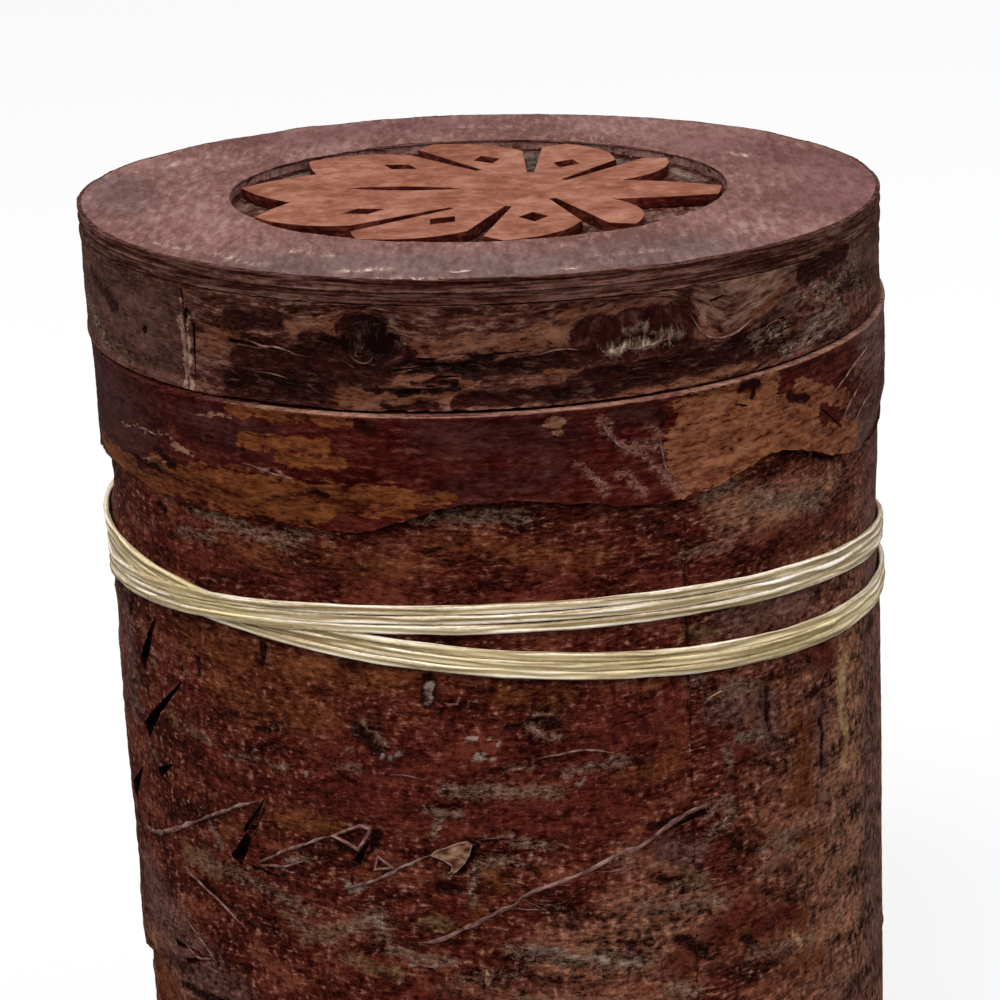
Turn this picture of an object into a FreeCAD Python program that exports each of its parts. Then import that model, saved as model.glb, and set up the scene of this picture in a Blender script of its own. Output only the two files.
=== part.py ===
import FreeCAD, Part
import math
import os
from collections import namedtuple

# Round box made of bent bark: a tall body, a lift-off lid with a fretwork leaf, a raffia tie.
# Millimetres, +Z up, origin at the middle of the bottom, front towards -Y.
# An azimuth is in degrees from the front, positive towards +X.

# Overall sizes. The lid's top slopes, so its height is taken at the middle.
box_height = 140.0
lid_radius = 50.0
lid_height = 14.4
top_fall_x = 1.0            # degrees that the lid's top falls towards +X
top_fall_y = 1.27           # degrees that it falls towards +Y

# Walls and layers
hoop_wall = 3.5
body_wall = 3.1
liner_wall = 2.0
band_thickness = 1.3
bottom_thickness = 3.0
disc_thickness = 1.6
rim_thickness = 1.5
window_radius = 31.0
leaf_thickness = 1.3

# Fits
lid_fit = 0.3               # from the neck to the inside of the lid, on the radius
lid_seat_gap = 0.3          # between the lid and the mouth it rests on
glue_line = 0.1             # between bent walls that are glued together
neck_headroom = 1.5         # over the neck, where the lid's inside is lowest
leaf_margin = 0.6           # from the leaf's tips to the window

# Butt seams where a bent sheet meets itself
seam_width = 0.4
hoop_seam_azimuth = -44.0
body_seam_azimuth = 26.5
band_seam_azimuth = -150.0
liner_seam_azimuth = 172.0

# Softened edges
edge_round = 0.4
neck_lead_in = 0.7
bottom_round = 0.8

# The body's shallow waist under the mouth band
waist_depth = 0.5
waist_drop = 29.5           # from the mouth down to the waist's middle
waist_reach = 13.5          # from its middle to where the wall is straight again

# The mouth band's lower edge: azimuth, and how far below the mouth it hangs
band_edge = [
    (-170.0, 12.6), (-140.0, 14.2), (-112.0, 13.4), (-88.0, 14.6), (-66.7, 13.8),
    (-46.0, 14.3), (-29.0, 14.3), (-14.7, 13.4), (-8.0, 11.3), (1.0, 10.3),
    (18.0, 12.4), (29.0, 12.4), (40.4, 10.0), (52.7, 13.2), (64.0, 15.2),
    (88.0, 14.4), (112.0, 12.2), (140.0, 13.8), (166.0, 12.0),
]

# The raffia tie: two bands of three turns, each band a tilted ring
strand = 0.8
strand_sides = 8            # a strand is a folded ribbon, so its section has flats
strand_gap = 0.47           # between two strands of a band, side by side
turns_in_band = 3
Band = namedtuple("Band", "drop rise high_azimuth layer")
upper_band = Band(drop=31.0, rise=6.0, high_azimuth=-7.0, layer=1)
lower_band = Band(drop=31.1, rise=6.1, high_azimuth=-86.0, layer=-1)
crossing_azimuth = -46.0    # where the upper band runs outside the lower one
layer_gap = 0.7             # between the two bands where they cross
nodes_per_turn = 4

# The knot, on the far crossing
knot_azimuth = 134.0
knot_length = 5.2
knot_height = 4.6
knot_depth = 3.2
knot_round = 1.2
knot_gap = 0.3              # from the strands that it lies on
exit_rise = 0.55            # from the knot's inner face to the middle of a strand that leaves it
exit_split = 1.5            # half the height between the two strands that leave it
lead_in = 30.0              # degrees from the knot to where a strand lies in its band
wrap_width = 1.6            # the one turn round the knot
wrap_thickness = 0.6
tail_length = 7.0           # of the two cut ends, downwards
tail_start = 0.9            # from the knot's middle, to its own side
tail_bow = 0.6              # outwards, halfway down
tail_leans = [0.45, 0.8]    # how far each end strays to its side, as a share of its length

# The fretwork leaf. Its angles run from its tip, and both sides have the same lobes.
leaf_direction = 171.0      # where the tip points, anticlockwise from +X
leaf_lobes = [(0.0, 0.0), (34.0, 0.3), (70.0, 0.0), (104.0, 0.4), (138.0, 1.0)]
leaf_notches = [(21.0, 6.5), (60.0, 5.5), (95.0, 6.0), (129.0, 6.5), (162.0, 12.0)]
lobe_front_bow = 0.03       # of the side towards the tip, as a share of its chord
lobe_back_bow = 0.15        # of the side towards the stem
tip_bow = 0.06              # of the two sides of the leaf's tip
stem_width = 5.0
slit_root = 11.5            # from the leaf's middle to a slit's inner end
slit_slant = 22.0           # degrees that the inner end lies nearer the stem
slit_width = 3.2            # at the leaf's edge
slit_root_width = 0.9
midrib_slot_start = 2.0     # from the leaf's middle towards the tip
midrib_slot_end = 17.0
midrib_slot_width = 2.4
diamond_share = 0.42        # of the way out along the slits on its two sides
diamond_length = 5.4
diamond_width = 3.6

# Sizes that follow
lid_inner_radius = lid_radius - hoop_wall
liner_radius = lid_inner_radius - lid_fit
liner_inner_radius = liner_radius - liner_wall
body_inner_radius = liner_radius + glue_line
body_radius = body_inner_radius + body_wall
band_inner_radius = body_radius + glue_line
band_radius = band_inner_radius + band_thickness
mouth_z = box_height - lid_height
hoop_bottom_z = mouth_z + lid_seat_gap
lid_layers = rim_thickness + disc_thickness
slope_x = math.tan(math.radians(top_fall_x))
slope_y = math.tan(math.radians(top_fall_y))
top_fall = math.hypot(slope_x, slope_y)
neck_top_z = box_height - lid_layers - top_fall * lid_inner_radius - neck_headroom
leaf_radius = window_radius - leaf_margin
waist_z = mouth_z - waist_drop
strand_pitch = strand + strand_gap
layer_throw = (strand + layer_gap) / 2      # how far each band's ring is set off to a crossing

Z_AXIS = FreeCAD.Vector(0, 0, 1)


def polar(radius, azimuth, z=0.0):
    """A point at an azimuth from the front."""
    turn = math.radians(azimuth)
    return FreeCAD.Vector(radius * math.sin(turn), -radius * math.cos(turn), z)


def disc(radius, bottom, top):
    return Part.makeCylinder(radius, top - bottom, FreeCAD.Vector(0, 0, bottom))


def tube(outer, inner, bottom, top):
    return disc(outer, bottom, top).cut(disc(inner, bottom, top))


def open_seam(wall, outer, inner, azimuth):
    """Cuts the narrow gap where a bent sheet's two ends meet."""
    box = wall.BoundBox
    depth = outer - inner + 2.0
    height = box.ZLength + 2.0
    corner = FreeCAD.Vector(-seam_width / 2, -outer - 1.0, box.ZMin - 1.0)
    gap = Part.makeBox(seam_width, depth, height, corner)
    gap.rotate(FreeCAD.Vector(0, 0, 0), Z_AXIS, azimuth)
    return wall.cut(gap)


def lid_top_z(x, y):
    """The height of the lid's sloping top."""
    return box_height - slope_x * x - slope_y * y


def sloped_slab(deep, shallow):
    """What lies between two depths below the lid's sloping top."""
    half = 1.5 * lid_radius
    corners = [(-half, -half), (half, -half), (half, half), (-half, half)]
    points = [FreeCAD.Vector(x, y, lid_top_z(x, y) - deep) for x, y in corners]
    floor = Part.Face(Part.makePolygon(points + points[:1]))
    return floor.extrude(FreeCAD.Vector(0, 0, deep - shallow))


def rim_edge(shape, radius, pick):
    """One of the round edges of that radius: pick 0 is the lowest, -1 the highest."""
    found = []
    for edge in shape.Edges:
        if not edge.isClosed():
            continue
        if abs(edge.Length / (2 * math.pi) - radius) < 0.01 * radius:
            found.append(edge)
    found.sort(key=lambda edge: edge.CenterOfMass.z)
    return found[pick]


# Body

def bottom_disc():
    plate = disc(body_radius, 0.0, bottom_thickness)
    return plate.makeFillet(bottom_round, [rim_edge(plate, body_radius, 0)])


def body_bark():
    """The outer wall, turned about the axis with its shallow waist, then opened at its seam."""
    low = waist_z - waist_reach
    high = waist_z + waist_reach
    waist = Part.BSplineCurve()
    middle = FreeCAD.Vector(body_radius - waist_depth, 0, waist_z)
    ends = [FreeCAD.Vector(body_radius, 0, low), FreeCAD.Vector(body_radius, 0, high)]
    waist.interpolate(
        Points=[ends[0], middle, ends[1]], InitialTangent=Z_AXIS, FinalTangent=Z_AXIS
    )
    foot = FreeCAD.Vector(body_radius, 0, bottom_thickness)
    head = FreeCAD.Vector(body_radius, 0, mouth_z)
    inner_head = FreeCAD.Vector(body_inner_radius, 0, mouth_z)
    inner_foot = FreeCAD.Vector(body_inner_radius, 0, bottom_thickness)
    outline = [
        Part.LineSegment(foot, ends[0]).toShape(),
        waist.toShape(),
        Part.LineSegment(ends[1], head).toShape(),
        Part.LineSegment(head, inner_head).toShape(),
        Part.LineSegment(inner_head, inner_foot).toShape(),
        Part.LineSegment(inner_foot, foot).toShape(),
    ]
    section = Part.Face(Part.Wire(outline))
    wall = section.revolve(FreeCAD.Vector(0, 0, 0), Z_AXIS, 360)
    return open_seam(wall, body_radius, body_inner_radius, body_seam_azimuth)


def body_liner():
    """The inner wall, which stands above the mouth as the neck that the lid slides on."""
    wall = tube(liner_radius, liner_inner_radius, bottom_thickness, neck_top_z)
    wall = wall.makeChamfer(neck_lead_in, [rim_edge(wall, liner_radius, -1)])
    return open_seam(wall, liner_radius, liner_inner_radius, liner_seam_azimuth)


def mouth_band():
    """A thin strip of bark glued round the mouth, with its natural wavy lower edge."""
    longest = 1.2 * max(drop for azimuth, drop in band_edge)
    strip = tube(band_radius, band_inner_radius, mouth_z - longest, mouth_z)
    strip = strip.makeChamfer(edge_round, [rim_edge(strip, band_radius, -1)])
    rings = []
    for radius in (band_inner_radius - band_thickness, band_radius + band_thickness):
        points = [polar(radius, azimuth, mouth_z - drop) for azimuth, drop in band_edge]
        ring = Part.BSplineCurve()
        ring.interpolate(Points=points, PeriodicFlag=True)
        knots = ring.getKnots()
        rings.append(Part.Wire([ring.toShape(*span) for span in zip(knots, knots[1:])]))
    edge_surface = Part.makeRuledSurface(rings[0], rings[1])
    waste = edge_surface.extrude(FreeCAD.Vector(0, 0, -2 * longest))
    strip = strip.cut(waste)
    return open_seam(strip, band_radius, band_inner_radius, band_seam_azimuth)


# Lid

def lid_hoop():
    """The lid's bent side wall: level below, cut to the slope above."""
    wall = tube(lid_radius, lid_inner_radius, hoop_bottom_z, box_height + lid_radius)
    wall = wall.common(sloped_slab(box_height, lid_layers))
    return open_seam(wall, lid_radius, lid_inner_radius, hoop_seam_azimuth)


def lid_base_disc():
    """The full disc on the hoop, which is the floor behind the leaf."""
    return disc(lid_radius, 0.0, 2 * box_height).common(sloped_slab(lid_layers, rim_thickness))


def lid_top_ring():
    """The top layer, with the round window that holds the leaf."""
    ring = tube(lid_radius, window_radius, 0.0, 2 * box_height)
    ring = ring.common(sloped_slab(rim_thickness, 0.0))
    rims = [rim_edge(ring, lid_radius, -1), rim_edge(ring, window_radius, -1)]
    return ring.makeFillet(edge_round, rims)


def bowed(start, end, bow):
    """An arc from start to end that bows out to the right of the way it runs."""
    along = end - start
    side = FreeCAD.Vector(along.y, -along.x, 0)
    side.normalize()
    middle = (start + end) * 0.5 + side * bow
    return Part.Arc(start, middle, end).toShape()


def leaf_point(direction, radius):
    """A point of the leaf's plan, its direction measured from the tip."""
    turn = math.radians(leaf_direction + direction)
    return FreeCAD.Vector(radius * math.cos(turn), radius * math.sin(turn), 0)


def leaf_side(hand):
    """The points from the middle lobe's tip to the stem, on one side of the midrib."""
    points = []
    for (lobe, setback), (notch, depth) in zip(leaf_lobes, leaf_notches):
        points.append(leaf_point(hand * lobe, leaf_radius - setback))
        points.append(leaf_point(hand * notch, leaf_radius - depth))
    stem_half_angle = math.degrees(stem_width / 2 / leaf_radius)
    points.append(leaf_point(hand * (180.0 - stem_half_angle), leaf_radius))
    return points


def leaf_outline():
    """The leaf's plan: a row of pointed lobes on each side, and a stem."""
    left = leaf_side(1)
    right = leaf_side(-1)
    points = left + right[:0:-1]
    edges = []
    for index, (start, end) in enumerate(zip(points, points[1:] + points[:1])):
        share = lobe_back_bow if index % 2 == 0 else lobe_front_bow
        if index in (0, len(points) - 1):
            share = tip_bow
        edges.append(bowed(start, end, share * start.distanceToPoint(end)))
    return Part.Face(Part.Wire(edges))


def slit_line(notch):
    """The inner and outer end of the slit that runs in from a notch."""
    side = math.copysign(1.0, notch)
    root = leaf_point(notch + side * slit_slant, slit_root)
    return root, leaf_point(notch, window_radius)


def slit(notch):
    """A cut from the leaf's edge in towards the midrib, wider at the edge."""
    root, mouth = slit_line(notch)
    across = (mouth - root).cross(Z_AXIS)
    across.normalize()
    corners = [
        root - across * (slit_root_width / 2),
        root + across * (slit_root_width / 2),
        mouth + across * (slit_width / 2),
        mouth - across * (slit_width / 2),
    ]
    return Part.Face(Part.makePolygon(corners + corners[:1]))


def diamond(notch, next_notch):
    """A piercing midway between two slits, in line with them."""
    root, mouth = slit_line(notch)
    next_root, next_mouth = slit_line(next_notch)
    inner = (root + next_root) * 0.5
    along = (mouth + next_mouth) * 0.5 - inner
    middle = inner + along * diamond_share
    along.normalize()
    across = along.cross(Z_AXIS)
    corners = [
        middle + along * (diamond_length / 2),
        middle + across * (diamond_width / 2),
        middle - along * (diamond_length / 2),
        middle - across * (diamond_width / 2),
    ]
    return Part.Face(Part.makePolygon(corners + corners[:1]))


def leaf_piercings():
    """A slot in the midrib, slits between the lobes, and diamonds between the slits."""
    ends = [leaf_point(0.0, midrib_slot_start), leaf_point(0.0, midrib_slot_end)]
    sides = [bowed(*ends, midrib_slot_width / 2), bowed(*ends[::-1], midrib_slot_width / 2)]
    cuts = [Part.Face(Part.Wire(sides))]
    notches = [notch for notch, depth in leaf_notches[:-1]]
    for hand in (1, -1):
        for notch in notches[1:]:
            cuts.append(slit(hand * notch))
        for notch, next_notch in zip(notches, notches[1:]):
            cuts.append(diamond(hand * notch, hand * next_notch))
    return cuts


def lid_leaf():
    """The fretwork leaf that stands on the base disc, inside the window."""
    sheet = leaf_outline().common(Part.Face(Part.Wire(Part.makeCircle(leaf_radius))))
    for cut in leaf_piercings():
        sheet = sheet.cut(cut)
    column = sheet.extrude(FreeCAD.Vector(0, 0, 2 * box_height))
    return column.common(sloped_slab(rim_thickness, rim_thickness - leaf_thickness))


# Tie

inner_strand_radius = body_radius + strand / 2
mean_strand_radius = inner_strand_radius + layer_throw


def band_point(band, azimuth, lane):
    """Where a strand of a band lies: lane counts pitches up from the band's middle."""
    tilt = math.cos(math.radians(azimuth - band.high_azimuth))
    towards = math.cos(math.radians(azimuth - crossing_azimuth))
    radius = mean_strand_radius + band.layer * layer_throw * towards
    z = mouth_z - band.drop + band.rise * tilt + lane * strand_pitch
    return polar(radius, azimuth, z)


def winding_point(turn):
    """The cord's middle after that many turns from the knot."""
    azimuth = knot_azimuth + 360.0 * turn
    if turn <= turns_in_band + 1 / nodes_per_turn:
        return band_point(upper_band, azimuth, turn - turns_in_band / 2)
    return band_point(lower_band, azimuth, turn - 1.5 * turns_in_band)


def winding_direction(turn):
    """The way the cord runs there."""
    step = 0.001
    direction = winding_point(turn + step) - winding_point(turn - step)
    direction.normalize()
    return direction


def knot_frame():
    """The middle of the knot's inner face, and its directions along the cord and outwards."""
    radius = mean_strand_radius + layer_throw + strand / 2 + knot_gap
    upper = band_point(upper_band, knot_azimuth, 0).z
    lower = band_point(lower_band, knot_azimuth, 0).z
    middle = polar(radius, knot_azimuth, (upper + lower) / 2)
    return middle, polar(1.0, knot_azimuth + 90.0), polar(1.0, knot_azimuth)


def biarc(start, start_way, end, end_way):
    """Two arcs that join smoothly and leave and arrive along the given directions."""
    across = end - start
    ways = start_way + end_way
    a = 2 * (start_way.dot(end_way) - 1)
    b = -2 * across.dot(ways)
    c = across.dot(across)
    if abs(a) < 1e-9:
        reach = -c / b
    else:
        reach = (-b - math.sqrt(b * b - 4 * a * c)) / (2 * a)
    joint = (start + start_way * reach + end - end_way * reach) * 0.5
    return [
        tangent_arc(start, start + start_way * reach, joint),
        tangent_arc(joint, end - end_way * reach, end),
    ]


def tangent_arc(start, corner, end):
    """The arc from start to end whose end tangents meet at the corner."""
    middle = (start + end) * 0.5
    half_chord = start.distanceToPoint(end) / 2
    rise = corner - middle
    half_angle = math.atan2(rise.Length, half_chord)
    rise.normalize()
    crown = middle + rise * (half_chord * math.tan(half_angle / 2))
    return Part.Arc(start, crown, end).toShape()


def winding_path():
    """Out of the knot, six turns, and back into it, straight at both ends."""
    inner_face, along, out = knot_frame()
    middle = inner_face + out * exit_rise
    split = FreeCAD.Vector(0, 0, exit_split)
    leave = middle + along * (knot_length / 2) - split
    arrive = middle - along * (knot_length / 2) + split
    nodes = [(leave + along * strand, along)]
    first_turn = lead_in / 360.0
    span = 2 * turns_in_band - 2 * first_turn
    count = round(span * nodes_per_turn)
    for index in range(count + 1):
        turn = first_turn + span * index / count
        nodes.append((winding_point(turn), winding_direction(turn)))
    nodes.append((arrive - along * strand, along))
    edges = [Part.LineSegment(leave, nodes[0][0]).toShape()]
    for (start, start_way), (end, end_way) in zip(nodes, nodes[1:]):
        edges += biarc(start, start_way, end, end_way)
    edges.append(Part.LineSegment(nodes[-1][0], arrive).toShape())
    return edges


def least_self_gap(edges):
    """The smallest clear gap between two stretches of the cord, measured on points."""
    points = []
    for edge in edges:
        steps = max(2, int(edge.Length / 1.5))
        points += edge.discretize(steps + 1)[:-1]
    apart = int(len(points) / (2 * turns_in_band) / 4)
    least = None
    for index, point in enumerate(points):
        for other in range(index + apart, len(points) - 1):
            start = points[other]
            if abs(start.z - point.z) > 3 * strand_pitch:
                continue
            if abs(start.x - point.x) > 4.0 or abs(start.y - point.y) > 4.0:
                continue
            run = points[other + 1] - start
            share = (point - start).dot(run) / run.dot(run)
            share = min(1.0, max(0.0, share))
            distance = point.distanceToPoint(start + run * share)
            if least is None or distance < least:
                least = distance
    return least - strand


def cord_along(path):
    """The cord's solid along a path."""
    first = path.Edges[0]
    start = first.valueAt(first.FirstParameter)
    way = first.tangentAt(first.FirstParameter)
    side = way.cross(Z_AXIS)
    side.normalize()
    up = side.cross(way)
    corners = []
    for index in range(strand_sides):
        turn = 2 * math.pi * index / strand_sides
        corners.append(start + (side * math.cos(turn) + up * math.sin(turn)) * (strand / 2))
    sweep = Part.BRepOffsetAPI.MakePipeShell(path)
    sweep.add(Part.makePolygon(corners + corners[:1]))
    sweep.build()
    sweep.makeSolid()
    return sweep.shape()


def raffia_tie():
    """One unbroken cord of six turns round the body."""
    edges = winding_path()
    print("tie: least gap to itself", round(least_self_gap(edges), 3), "mm")
    path = Part.Wire(edges)
    cord = cord_along(path)
    section = strand_sides / 8 * strand ** 2 * math.sin(2 * math.pi / strand_sides)
    expected = section * path.Length
    print("tie: length", round(path.Length, 1), "mm, volume share", round(cord.Volume / expected, 4))
    return cord


def rounded_bar(length, inner, outer, height):
    """A bar along X with rounded long edges, between two depths along Y."""
    corner = FreeCAD.Vector(-length / 2, inner, -height / 2)
    bar = Part.makeBox(length, outer - inner, height, corner)
    long_edges = [edge for edge in bar.Edges if abs(edge.Length - length) < 0.001]
    return bar.makeFillet(knot_round, long_edges)


def knot_tail(side, lean):
    """A cut end of the cord that leaves the knot downwards."""
    top = FreeCAD.Vector(side * tail_start, knot_depth / 2, -knot_height / 4)
    foot = top + FreeCAD.Vector(side * lean * tail_length, 0, -tail_length)
    middle = (top + foot) * 0.5 + FreeCAD.Vector(side * tail_bow, 0, 0)
    return cord_along(Part.Wire(Part.Arc(top, middle, foot).toShape()))


def raffia_knot():
    """The knot over the far crossing: a tight bundle, one turn round it and two cut ends."""
    bundle = rounded_bar(knot_length, 0.0, knot_depth, knot_height)
    wrap_height = knot_height + 2 * wrap_thickness
    wrap = rounded_bar(wrap_width, 0.0, knot_depth + wrap_thickness, wrap_height)
    knot = bundle.fuse(wrap)
    for side, lean in zip((-1, 1), tail_leans):
        knot = knot.fuse(knot_tail(side, lean))
    inner_face, along, out = knot_frame()
    turn = math.degrees(math.atan2(out.y, out.x)) - 90.0
    knot.rotate(FreeCAD.Vector(0, 0, 0), Z_AXIS, turn)
    knot.translate(inner_face)
    return knot.removeSplitter()


NODES = {
    "bottom_disc": bottom_disc,
    "body_bark": body_bark,
    "body_liner": body_liner,
    "mouth_band": mouth_band,
    "raffia_tie": raffia_tie,
    "raffia_knot": raffia_knot,
    "lid_hoop": lid_hoop,
    "lid_base_disc": lid_base_disc,
    "lid_top_ring": lid_top_ring,
    "lid_leaf": lid_leaf,
}

os.makedirs("parts", exist_ok=True)
for name, make in NODES.items():
    shape = make()
    solids = shape.Solids
    print(name, "solids", len(solids), "valid", shape.isValid(), "volume", round(shape.Volume, 1))
    piece = solids[0] if len(solids) == 1 else shape
    piece.exportStep("parts/" + name + ".step")
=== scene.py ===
import math
from collections import namedtuple

import bmesh
import bpy
import numpy as np
from mathutils import Matrix, Vector


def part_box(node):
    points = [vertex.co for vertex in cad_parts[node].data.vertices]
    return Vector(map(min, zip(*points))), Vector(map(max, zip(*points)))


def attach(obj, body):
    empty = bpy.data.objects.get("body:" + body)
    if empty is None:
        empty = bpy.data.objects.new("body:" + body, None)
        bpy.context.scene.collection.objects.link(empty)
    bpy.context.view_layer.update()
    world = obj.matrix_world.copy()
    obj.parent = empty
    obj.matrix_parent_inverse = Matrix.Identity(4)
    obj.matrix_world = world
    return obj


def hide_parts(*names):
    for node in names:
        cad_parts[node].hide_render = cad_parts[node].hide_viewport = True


# A lidded box of bent bark, in metres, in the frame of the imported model.
# An azimuth is in degrees from the front (-Y), positive towards +X.
# A drop is in millimetres below the middle of the lid's top.

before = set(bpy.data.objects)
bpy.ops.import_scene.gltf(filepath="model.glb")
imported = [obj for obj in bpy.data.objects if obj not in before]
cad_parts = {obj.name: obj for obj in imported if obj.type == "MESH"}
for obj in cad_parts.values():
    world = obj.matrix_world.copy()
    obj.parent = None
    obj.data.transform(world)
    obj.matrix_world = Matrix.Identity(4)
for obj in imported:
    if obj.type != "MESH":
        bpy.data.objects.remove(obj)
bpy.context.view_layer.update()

MM = 0.001
TINY = 1e-6
WELD = 1e-7
HAIR = 0.01 * MM
LID_TOP = 140 * MM
TOP_FALL_X = math.tan(math.radians(1.0))
TOP_FALL_Y = math.tan(math.radians(1.27))
LID_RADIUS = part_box("lid_base_disc")[1].x
WINDOW_RADIUS = 31 * MM
RIM_THICKNESS = 1.5 * MM
DISC_THICKNESS = 1.6 * MM
HOOP_WALL = 3.5 * MM
HOOP_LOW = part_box("lid_hoop")[0].z
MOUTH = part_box("mouth_band")[1].z
BAND_RADIUS = 50.8 * MM
BAND_THICKNESS = 1.3 * MM
BODY_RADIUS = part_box("bottom_disc")[1].x
BODY_WALL = 3.1 * MM
BODY_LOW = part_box("body_bark")[0].z
# The wall draws in under the tie; its drop is below the mouth
WAIST_DEPTH = 0.5 * MM
WAIST_DROP = 29.5 * MM
WAIST_REACH = 13.5 * MM
# Azimuths of the butt seams
BODY_SEAM = 26.5
BAND_SEAM = -150
HOOP_SEAM = -44
# How much the map called along is stretched along the grain
GRAIN_STRETCH = 4.0
# The lid's top falls to the right and to the back
SLOPE = Matrix(((1, 0, 0, 0), (0, 1, 0, 0), (-TOP_FALL_X, -TOP_FALL_Y, 1, 0), (0, 0, 0, 1)))


# Helpers

def deselect():
    bpy.ops.object.select_all(action="DESELECT")


def applied(piece, kind, **settings):
    """Adds a modifier with its settings and applies it."""
    modifier = piece.modifiers.new(kind.lower(), kind)
    for name, value in settings.items():
        setattr(modifier, name, value)
    bpy.context.view_layer.objects.active = piece
    bpy.ops.object.modifier_apply(modifier=modifier.name)


def select_where(kind, test):
    """Selects the vertices, edges or faces of the mesh in edit mode that pass a test."""
    bpy.ops.mesh.select_mode(type=kind)
    bpy.ops.mesh.select_all(action="DESELECT")
    mesh = bmesh.from_edit_mesh(bpy.context.edit_object.data)
    parts = {"VERT": mesh.verts, "EDGE": mesh.edges, "FACE": mesh.faces}[kind]
    for part in parts:
        if test(part):
            part.select_set(True)
    mesh.select_flush_mode()
    bmesh.update_edit_mesh(bpy.context.edit_object.data)


def read(items, name, width=1, kind=float):
    """One property of every item, as an array."""
    values = np.empty(len(items) * width, kind)
    items.foreach_get(name, values)
    return values.reshape(-1, width) if width > 1 else values


def points_of(piece):
    return read(piece.data.vertices, "co", 3)


def move_points(piece, points):
    piece.data.vertices.foreach_set("co", points.ravel())
    piece.data.update()


def azimuths(points):
    return np.degrees(np.arctan2(points[:, 0], -points[:, 1]))


def drops(points):
    return (LID_TOP - points[:, 2]) / MM


def radii_of(points):
    return np.hypot(points[:, 0], points[:, 1])


def ramp(values, start, end):
    """0 up to the start and 1 from the end on. It falls where the end is the smaller."""
    return np.clip((values - start) / (end - start), 0, 1)


def hump(values, middle, reach):
    """1 in the middle and fading to nothing on both sides."""
    return np.exp(-((values - middle) / reach) ** 2)


def normals_out():
    """Turns the faces of the active piece outwards."""
    bpy.ops.object.mode_set(mode="EDIT")
    bpy.ops.mesh.select_all(action="SELECT")
    bpy.ops.mesh.normals_make_consistent(inside=False)
    bpy.ops.object.mode_set(mode="OBJECT")


def turned(name, inner, outer, low, high, cuts, stretches, start=0.0, rounded=0.0, fold=2):
    """Spins an upright rectangle about the axis. The cuts divide its outer, upper and inner side.

    Each stretch is a sweep in degrees and its number of steps. Less than a full turn
    leaves a gap, and the two ends are closed. At the end each face is halved both ways
    as often as fold says, and the new points are moved out onto the round.
    """
    deselect()
    middle = ((inner + outer) / 2, 0, (low + high) / 2)
    bpy.ops.mesh.primitive_plane_add(size=1, location=middle, rotation=(math.pi / 2, 0, 0))
    piece = bpy.context.object
    piece.name = name
    piece.data.name = name
    piece.scale = (outer - inner, high - low, 1)
    bpy.ops.object.transform_apply(location=True, rotation=True, scale=True)
    bpy.ops.object.mode_set(mode="EDIT")
    bpy.ops.mesh.select_all(action="SELECT")
    bpy.ops.mesh.delete(type="ONLY_FACE")
    sides = [
        lambda edge: all(vertex.co.x > middle[0] for vertex in edge.verts),
        lambda edge: all(vertex.co.z > middle[2] for vertex in edge.verts),
        lambda edge: all(vertex.co.x < middle[0] for vertex in edge.verts),
    ]
    for side, number in zip(sides, cuts):
        if number:
            select_where("EDGE", side)
            bpy.ops.mesh.subdivide(number_cuts=number)
    if inner == 0:
        select_where("EDGE", lambda edge: all(vertex.co.x < TINY for vertex in edge.verts))
        bpy.ops.mesh.delete(type="EDGE")
    if rounded:
        level = high if rounded > 0 else low
        select_where(
            "VERT",
            lambda vertex: abs(vertex.co.z - level) < TINY
            and (vertex.co.x > outer - TINY or TINY < vertex.co.x < inner + TINY),
        )
        bpy.ops.mesh.bevel(offset=abs(rounded), segments=2, affect="VERTICES")
    bpy.ops.mesh.select_mode(type="VERT")
    bpy.ops.mesh.select_all(action="SELECT")
    turn = 0.0
    for sweep, steps in stretches:
        bpy.ops.mesh.spin(
            steps=steps, angle=math.radians(sweep), center=(0, 0, 0), axis=(0, 0, -1)
        )
        turn += sweep
    bpy.ops.mesh.select_all(action="SELECT")
    bpy.ops.mesh.remove_doubles(threshold=WELD)
    if turn < 359.999:
        bpy.ops.mesh.fill_holes(sides=0)
        bpy.ops.mesh.select_all(action="SELECT")
    bpy.ops.mesh.normals_make_consistent(inside=False)
    bpy.ops.object.mode_set(mode="OBJECT")
    piece.data.transform(Matrix.Rotation(math.radians(start - 90), 4, "Z"))
    applied(piece, "SUBSURF", subdivision_type="SIMPLE", levels=fold, render_levels=fold)
    points = points_of(piece)
    along = (azimuths(points) - start) % 360
    along[along > 359.9999] = 0.0
    begin = 0.0
    for sweep, steps in stretches:
        step = sweep / steps
        here = (along >= begin - 1e-4) & (along <= begin + sweep + 1e-4)
        number = np.clip(np.floor((along - begin) / step), 0, steps - 1)
        off_middle = np.radians(along - begin - (number + 0.5) * step)
        grow = np.cos(off_middle) / math.cos(math.radians(step / 2))
        points[here, :2] *= grow[here, None]
        along[here] = -1000.0
        begin += sweep
    move_points(piece, points)
    return piece


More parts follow.
